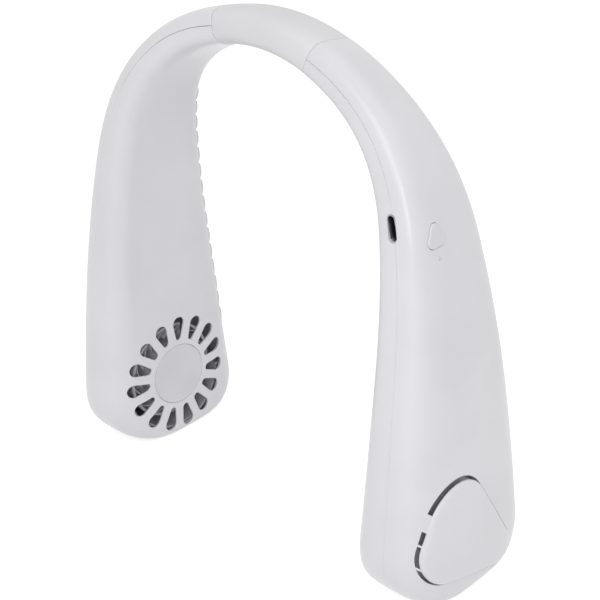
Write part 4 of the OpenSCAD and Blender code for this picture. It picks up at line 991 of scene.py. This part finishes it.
# Shader maths: a socket that takes part in Python sums
class Flow:
    def __init__(self, tree, socket=None):
        self.tree = tree
        self.socket = socket

    def node(self, kind, inputs=None, settings=None, output=None):
        # A new node with its inputs and settings, seen at the named output or else at its first
        made = self.tree.nodes.new("ShaderNode" + kind)
        for name, value in (settings or {}).items():
            setattr(made, name, value)
        for name, value in (inputs or {}).items():
            sockets = [s for s in made.inputs if s.identifier == name] or [made.inputs[name]]
            if isinstance(value, Flow):
                self.tree.links.new(value.socket, sockets[0])
            else:
                sockets[0].default_value = value
        found = [s for s in made.outputs if output in (s.identifier, s.name)] or [made.outputs[0]]
        return Flow(self.tree, found[0])

    def sum(self, operation, first, second=0.0):
        # One step of arithmetic on one or two values
        return self.node("Math", {"Value": first, "Value_001": second}, {"operation": operation})

    def __add__(self, other): return self.sum("ADD", self, other)
    def __sub__(self, other): return self.sum("SUBTRACT", self, other)
    def __rsub__(self, other): return self.sum("SUBTRACT", other, self)
    def __mul__(self, other): return self.sum("MULTIPLY", self, other)
    def __pow__(self, other): return self.sum("POWER", self, other)
    def __abs__(self): return self.sum("ABSOLUTE", self)
    def most(self, other): return self.sum("MAXIMUM", self, other)
    def sine(self): return self.sum("SINE", self)

    def between(self, low, high):
        # 0 below the low value, 1 above the high one, and 3t^2 - 2t^3 on the way
        inputs = {"Value": self, "From Min": low, "From Max": high}
        return self.node("MapRange", inputs, {"interpolation_type": "SMOOTHSTEP"})

    def mixed(self, first, second):
        # This value blends two colours, each from 0 to 255 or already a Flow
        first, second = (c if isinstance(c, Flow) else rgb(*c) for c in (first, second))
        inputs = {"Factor_Float": self, "A_Color": first, "B_Color": second}
        return self.node("Mix", inputs, {"data_type": "RGBA"}, "Result_Color")

    def noise(self, scale, detail=3.0, roughness=0.5, stretch=None):
        # Cloudy noise from 0 to 1, with a number of patches for each metre
        inputs = {"Vector": self.place(stretch), "Scale": scale, "Detail": detail, "Roughness": roughness}
        return self.node("TexNoise", inputs, output="Fac")

    def cells(self, scale, randomness=1.0, settings=None):
        # The distance to the middle of the nearest cell
        inputs = {"Vector": self.place(), "Scale": scale, "Randomness": randomness}
        return self.node("TexVoronoi", inputs, settings, "Distance")

    def place(self, stretch=None):
        # The place on the piece, each axis times its stretch
        here = self.node("TexCoord", output="Object")
        return self.node("Mapping", {"Vector": here, "Scale": stretch}) if stretch else here

    def rings(self, pitch):
        # The sine of the place along the motor's axis, with one wave for each pitch in metres
        x = self.node("SeparateXYZ", {"Vector": self.place()}, output="X")
        return (x * (2 * math.pi / pitch)).sine()


def rgb(red, green, blue):
    # A colour as it looks on the screen, from 0 to 255, as light
    c = np.array([red, green, blue]) / 255
    return (*np.where(c <= 0.04045, c / 12.92, ((c + 0.055) / 1.055) ** 2.4).tolist(), 1)


def newFinish(name, recipe):
    # A recipe gets a Flow and returns colour, gloss, height, the height's depth and any other sockets
    material = bpy.data.materials.new(name)
    material.use_nodes = True
    tree = material.node_tree
    shader = next(n for n in tree.nodes if n.type == "BSDF_PRINCIPLED")
    flow = Flow(tree)
    colour, gloss, height, depth, *others = recipe(flow)
    bump = flow.node("Bump", {"Height": height, "Distance": depth})
    sockets = {"Base Color": colour, "Roughness": gloss, "Normal": bump, **dict(others)}
    for socket, value in sockets.items():
        if isinstance(value, Flow):
            tree.links.new(value.socket, shader.inputs[socket])
        else:
            shader.inputs[socket].default_value = value
    return material


# Plastics: name, colour and its shade, scale of the grain, gloss, depth of the grain in metres
plastics = {
    "casing": ("satinWhiteCasing", (229, 228, 232), (224, 223, 227), 1900, 0.3, 0.000006),
    "trim": ("satinGreyTrim", (224, 223, 227), (216, 215, 220), 2200, 0.36, 0.00001),
    "key": ("satinKey", (227, 226, 231), (221, 220, 225), 2600, 0.34, 0.00001),
    "fan": ("fanNylon", (206, 207, 210), (196, 197, 201), 1500, 0.42, 0.00002),
    "duct": ("ductPlastic", (186, 187, 191), (174, 176, 180), 1200, 0.5, 0.00003),
    "nylon": ("plugNylon", (58, 59, 63), (48, 49, 53), 1400, 0.48, 0.00003),
    "stem": ("switchStem", (222, 216, 200), (208, 202, 186), 2000, 0.35, 0.00001),
}
# Metals: name, colour and its shade, gloss, and how the scratches are drawn out along the axes
metals = {
    "cup": ("drawnSteel", (176, 178, 182), (150, 152, 156), 0.24, (6, 1, 1)),
    "steel": ("groundSteel", (206, 207, 210), (184, 186, 190), 0.16, (0.2, 5, 5)),
    "springSteel": ("springSteel", (186, 188, 192), (150, 154, 162), 0.22, (0.3, 5, 3)),
    "zinc": ("zincPlate", (198, 200, 202), (170, 172, 168), 0.28, (1, 1, 1)),
}
# Spotted materials: name, colour and the spots' colour, scale and roughness of the noise, where a spot
# starts and is full, share of metal, gloss and what a spot adds to it, depth in metres (under 0: pits)
spotted = {
    "ferrite": ("bondedMagnet", (48, 48, 51), (84, 84, 88), 2600, 0.7, 0.62, 0.7, 0, 0.55, -0.15, 0.00003),
    # The bronze's spots are sunken pits in a darker colour: painted shade in the pores
    "bronze": ("sinteredBronze", (188, 152, 92), (112, 84, 46),
               2200, 0.6, 0.56, 0.66, 0.95, 0.34, 0.25, -0.00003),
    "pipe": ("lightPipe", (226, 228, 232), (206, 208, 214), 900, 0.5, 0.4, 0.7, 0, 0.16, 0.1, 0.00001),
    "phosphor": ("lampPhosphor", (236, 222, 142), (224, 204, 112), 2600, 0.5, 0.4, 0.7, 0, 0.3, 0.1, 0.00002),
}


def moulded(colour, shade, grain, gloss, depth):
    # Moulded plastic: faint clouding of the colour, handling marks in the gloss and a fine grain
    def recipe(flow):
        cloud = flow.noise(28, 3).between(0.3, 0.7)
        marks = flow.noise(160, 4, 0.6, (1, 1, 0.35)).between(0.35, 0.75)
        height = flow.noise(grain, 2, 0.6) * 0.6 + flow.noise(55, 1) * 0.4
        return cloud.mixed(colour, shade), marks * 0.06 + gloss, height, depth
    return recipe


def brushed(colour, shade, gloss, stretch):
    # Turned or rolled metal: fine scratches drawn out one way
    def recipe(flow):
        lines = flow.noise(420, 4, 0.65, stretch)
        stain = flow.noise(90, 3).between(0.35, 0.7)
        mix = (lines * 0.6 + stain * 0.4).mixed(colour, shade)
        return mix, lines * 0.18 + gloss, lines, 0.00002, ("Metallic", 1.0)
    return recipe


def speckled(colour, spot, scale, rough, low, high, metal, gloss, more, depth):
    # Grains, pores, haze or dots, as small raised or sunken spots
    def recipe(flow):
        spots = flow.noise(scale, 2, rough).between(low, high)
        height = 1 - spots if depth < 0 else spots
        return spots.mixed(colour, spot), spots * more + gloss, height, abs(depth), ("Metallic", metal)
    return recipe


def softSkin(flow):
    # Soft moulded rubber with a fine matt grain
    mix = flow.noise(22, 2).between(0.3, 0.7).mixed((228, 228, 230), (221, 221, 224))
    grain = flow.noise(3200, 3, 0.7)
    dust = flow.noise(900, 4, 0.65).between(0.62, 0.8)
    return mix, dust * 0.12 + 0.5, grain, 0.00003, ("Sheen Weight", 0.08), ("Sheen Roughness", 0.4)


def laminated(flow):
    # Stacked steel sheets: a fine line every half millimetre along the motor's axis
    line = flow.rings(0.0005).between(0.55, 0.95)
    rust = flow.noise(300, 3).between(0.55, 0.8)
    mix = (line * 0.5 + rust * 0.3).mixed((148, 148, 152), (86, 84, 84))
    return mix, line * 0.2 + 0.38, 1 - line, 0.00004, ("Metallic", 0.9)


def copperTurnsPaintedShade(flow):
    # Enamelled wire: round turns stacked along the motor's axis, each as high as |sin| to the power 0.6. The
    # colour follows that height too, times a random tone: painted shade in the grooves between turns and a
    # painted highlight on their crests.
    turns = abs(flow.rings(0.00068)) ** 0.6
    tone = flow.noise(260, 2).between(0.3, 0.7)
    # Painted shade and highlight: darker copper in the grooves between turns, brighter on their crests
    mix = (tone * turns).mixed((112, 50, 22), (206, 118, 62))
    return mix, 0.42 - turns * 0.16, turns, 0.00006, ("Metallic", 0.85)


def boardMask(flow):
    # Circuit board: solder mask over tracks that run in straight steps, with bare pads
    tracks = flow.cells(420.0, 0.35, {"distance": "CHEBYCHEV", "feature": "F1"})
    track = abs(tracks - 0.34).between(0.02, 0.07)
    pads = flow.cells(230.0, 0.25).between(0.12, 0.15)
    mix = pads.mixed((206, 196, 150), track.mixed((28, 104, 66), (14, 74, 46)))
    return (mix, pads * 0.08 + 0.26, (1 - track) * 0.5 + (1 - pads), 0.00004, ("Metallic", (1 - pads) * 0.8),
            ("Coat Weight", 0.3), ("Coat Roughness", 0.15))


def insulation(flow):
    # Extruded wire cover: slight die lines and dust
    dust = flow.noise(700, 3).between(0.4, 0.75)
    lines = flow.noise(1500, 2, 0.5, (0.15, 1, 0.15))
    return dust.mixed((72, 72, 76), (58, 58, 62)), dust * 0.12 + 0.36, lines, 0.00002


def pouchFoil(flow):
    # Laminated foil: soft creases and a dull silver sheen
    crease = flow.noise(110, 5, 0.62, (1, 1, 0.6))
    fold = abs(crease - 0.5).between(0.0, 0.09)
    tone = flow.noise(45, 2).between(0.3, 0.7)
    mix = tone.mixed((196, 199, 204), (172, 176, 182))
    return mix, fold * -0.1 + 0.4, fold, 0.00018, ("Metallic", 0.85)


def foamPoresPaintedShade(flow):
    # Open pores, each a cell as deep as the distance from its middle. The colour follows the same depth,
    # darkest at the middle: painted shade in the pores.
    cells = flow.cells(1400.0)
    return cells.between(0.1, 0.6).mixed((22, 22, 24), (62, 62, 66)), 0.9, cells, 0.0002


def blackEpoxy(flow):
    # Cast resin: a matt grain with paler marks
    grain = flow.noise(2400, 3, 0.7)
    marks = flow.noise(500, 2).between(0.5, 0.7)
    return marks.mixed((30, 30, 32), (44, 44, 47)), grain * 0.2 + 0.4, grain, 0.00003


finishes = {
    "sleeve": newFinish("softSleeve", softSkin),
    "core": newFinish("laminatedSteel", laminated),
    "copper": newFinish("enamelledCopper", copperTurnsPaintedShade),
    "board": newFinish("solderMask", boardMask),
    "greyLead": newFinish("greyInsulation", insulation),
    "foil": newFinish("pouchFoil", pouchFoil),
    "foam": newFinish("blackFoam", foamPoresPaintedShade),
    "epoxy": newFinish("blackEpoxy", blackEpoxy),
}
for family, table in ((moulded, plastics), (brushed, metals), (speckled, spotted)):
    for finish, (name, *values) in table.items():
        finishes[finish] = newFinish(name, family(*values))
# The casings have a thin clear coat
casingShader = next(n for n in finishes["casing"].node_tree.nodes if n.type == "BSDF_PRINCIPLED")
casingShader.inputs["Coat Weight"].default_value = 0.2
casingShader.inputs["Coat Roughness"].default_value = 0.12


def dress(piece, finish):
    # One finish for every face
    slots = piece.data.materials
    slots.clear()
    slots.append(finishes[finish])


armFinishes = {
    "air_duct": "duct", "fan_wheel": "fan", "rotor_cup": "cup", "rotor_magnet": "ferrite",
    "motor_stator": "core", "motor_windings": "copper", "motor_bearing": "bronze", "motor_board": "board",
    "motor_screws": "zinc", "motor_leads": "greyLead", "battery_cell": "foil", "battery_pad": "foam",
    "motor_shaft": "steel", "arm_plug": "nylon",
}
boardFinishes = {
    "control_board": "board", "board_parts": "epoxy", "board_screws": "zinc", "usb_socket": "cup",
    "button_switch": "epoxy", "switch_stem": "stem", "status_led": "phosphor", "led_pipe": "pipe",
}
for side in (rightSide, leftSide):
    for node, finish in armFinishes.items():
        dress(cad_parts[sideName(side, node)], finish)
    for piece, finish in zip(casings[side] + trims[side], ("casing", "casing", "trim", "casing", "trim")):
        dress(piece, finish)
        "shell_white" if finish == "casing" else "trim_grey"
for node, finish in boardFinishes.items():
    dress(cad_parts[node], finish)
for piece, finish, slot in ((sleeve, "sleeve", "soft_sleeve"), (springStrip, "springSteel", "spring_steel"),
                            (wireBundle, "greyLead", "grey_lead"), (key, "key", "key_plastic")):
    dress(piece, finish)
print("finishes given")


# Studio: white surroundings for the camera, soft lamps, and a pale floor that keeps the shadow
studio = {
    "fill": 0.63,
    # where the lamps point, in metres
    "aim": (0, 0, 0.09),
    # name, place in metres, size, power in watts
    "lamps": (
        ("keyLamp", (0.35, -0.75, 0.75), 0.6, 2.1),
        ("lowLamp", (0.62, -0.62, 0.4), 0.3, 1.2),
        ("topLamp", (0.1, 0.35, 0.95), 0.7, 0.8),
    ),
    # the floor's half width and its drop below the feet, in metres, its paleness and its glow
    "floorHalf": 6,
    "floorDrop": 0.00002,
    "paper": 0.8,
    "glow": 0.55,
}


def seenDirectly(flow):
    # 1 for what the camera, a reflection or clear glass sees
    path = flow.node("LightPath").socket.node.outputs
    rays = [Flow(flow.tree, path[name]) for name in ("Is Camera Ray", "Is Glossy Ray", "Is Transmission Ray")]
    return rays[0].most(rays[1]).most(rays[2])


def buildWorld():
    # White as seen, and weaker as light: fill + (1 - fill) where it is seen directly
    world = bpy.data.worlds.new("studio")
    bpy.context.scene.world = world
    world.use_nodes = True
    tree = world.node_tree
    background = next(n for n in tree.nodes if n.type == "BACKGROUND")
    background.inputs["Color"].default_value = (1, 1, 1, 1)
    strength = seenDirectly(Flow(tree)) * (1 - studio["fill"]) + studio["fill"]
    tree.links.new(strength.socket, background.inputs["Strength"])


def buildFloor():
    # Matt paper that the camera sees with a glow added, so that it is white outside the shadow
    half, pale = studio["floorHalf"], studio["paper"]
    points = np.array([(-1, -1, 0), (1, -1, 0), (1, 1, 0), (-1, 1, 0)], float) * half
    points[:, 2] = -studio["floorDrop"]
    floor = makeObject(makeMesh("studio_floor", points, [np.array([[0, 1, 2, 3]])], turnOut=False))
    material = bpy.data.materials.new("floorPaper")
    material.use_nodes = True
    tree = material.node_tree
    tree.nodes.clear()
    flow = Flow(tree)
    paper = flow.node("BsdfDiffuse", {"Color": (pale, pale, pale, 1)})
    glow = flow.node("Emission", {"Color": (1, 1, 1, 1), "Strength": studio["glow"]})
    both = flow.node("AddShader", {"Shader": paper, "Shader_001": glow})
    mixed = flow.node("MixShader", {"Fac": seenDirectly(flow), "Shader": paper, "Shader_001": both})
    end = tree.nodes.new("ShaderNodeOutputMaterial")
    tree.links.new(mixed.socket, end.inputs["Surface"])
    floor.data.materials.append(material)


def buildLamps():
    # Square lamps that face the aim
    for name, place, size, power in studio["lamps"]:
        data = bpy.data.lights.new(name, "AREA")
        data.shape, data.size, data.energy = "SQUARE", size, power
        back = unit(np.array(place) - studio["aim"])
        side = unit(np.cross((0, 0, 1), back))
        standAt(name, data, side, np.cross(back, side), back, place)


buildWorld()
buildFloor()
buildLamps()
bpy.context.scene.view_settings.view_transform = "Standard"
print("studio lit")
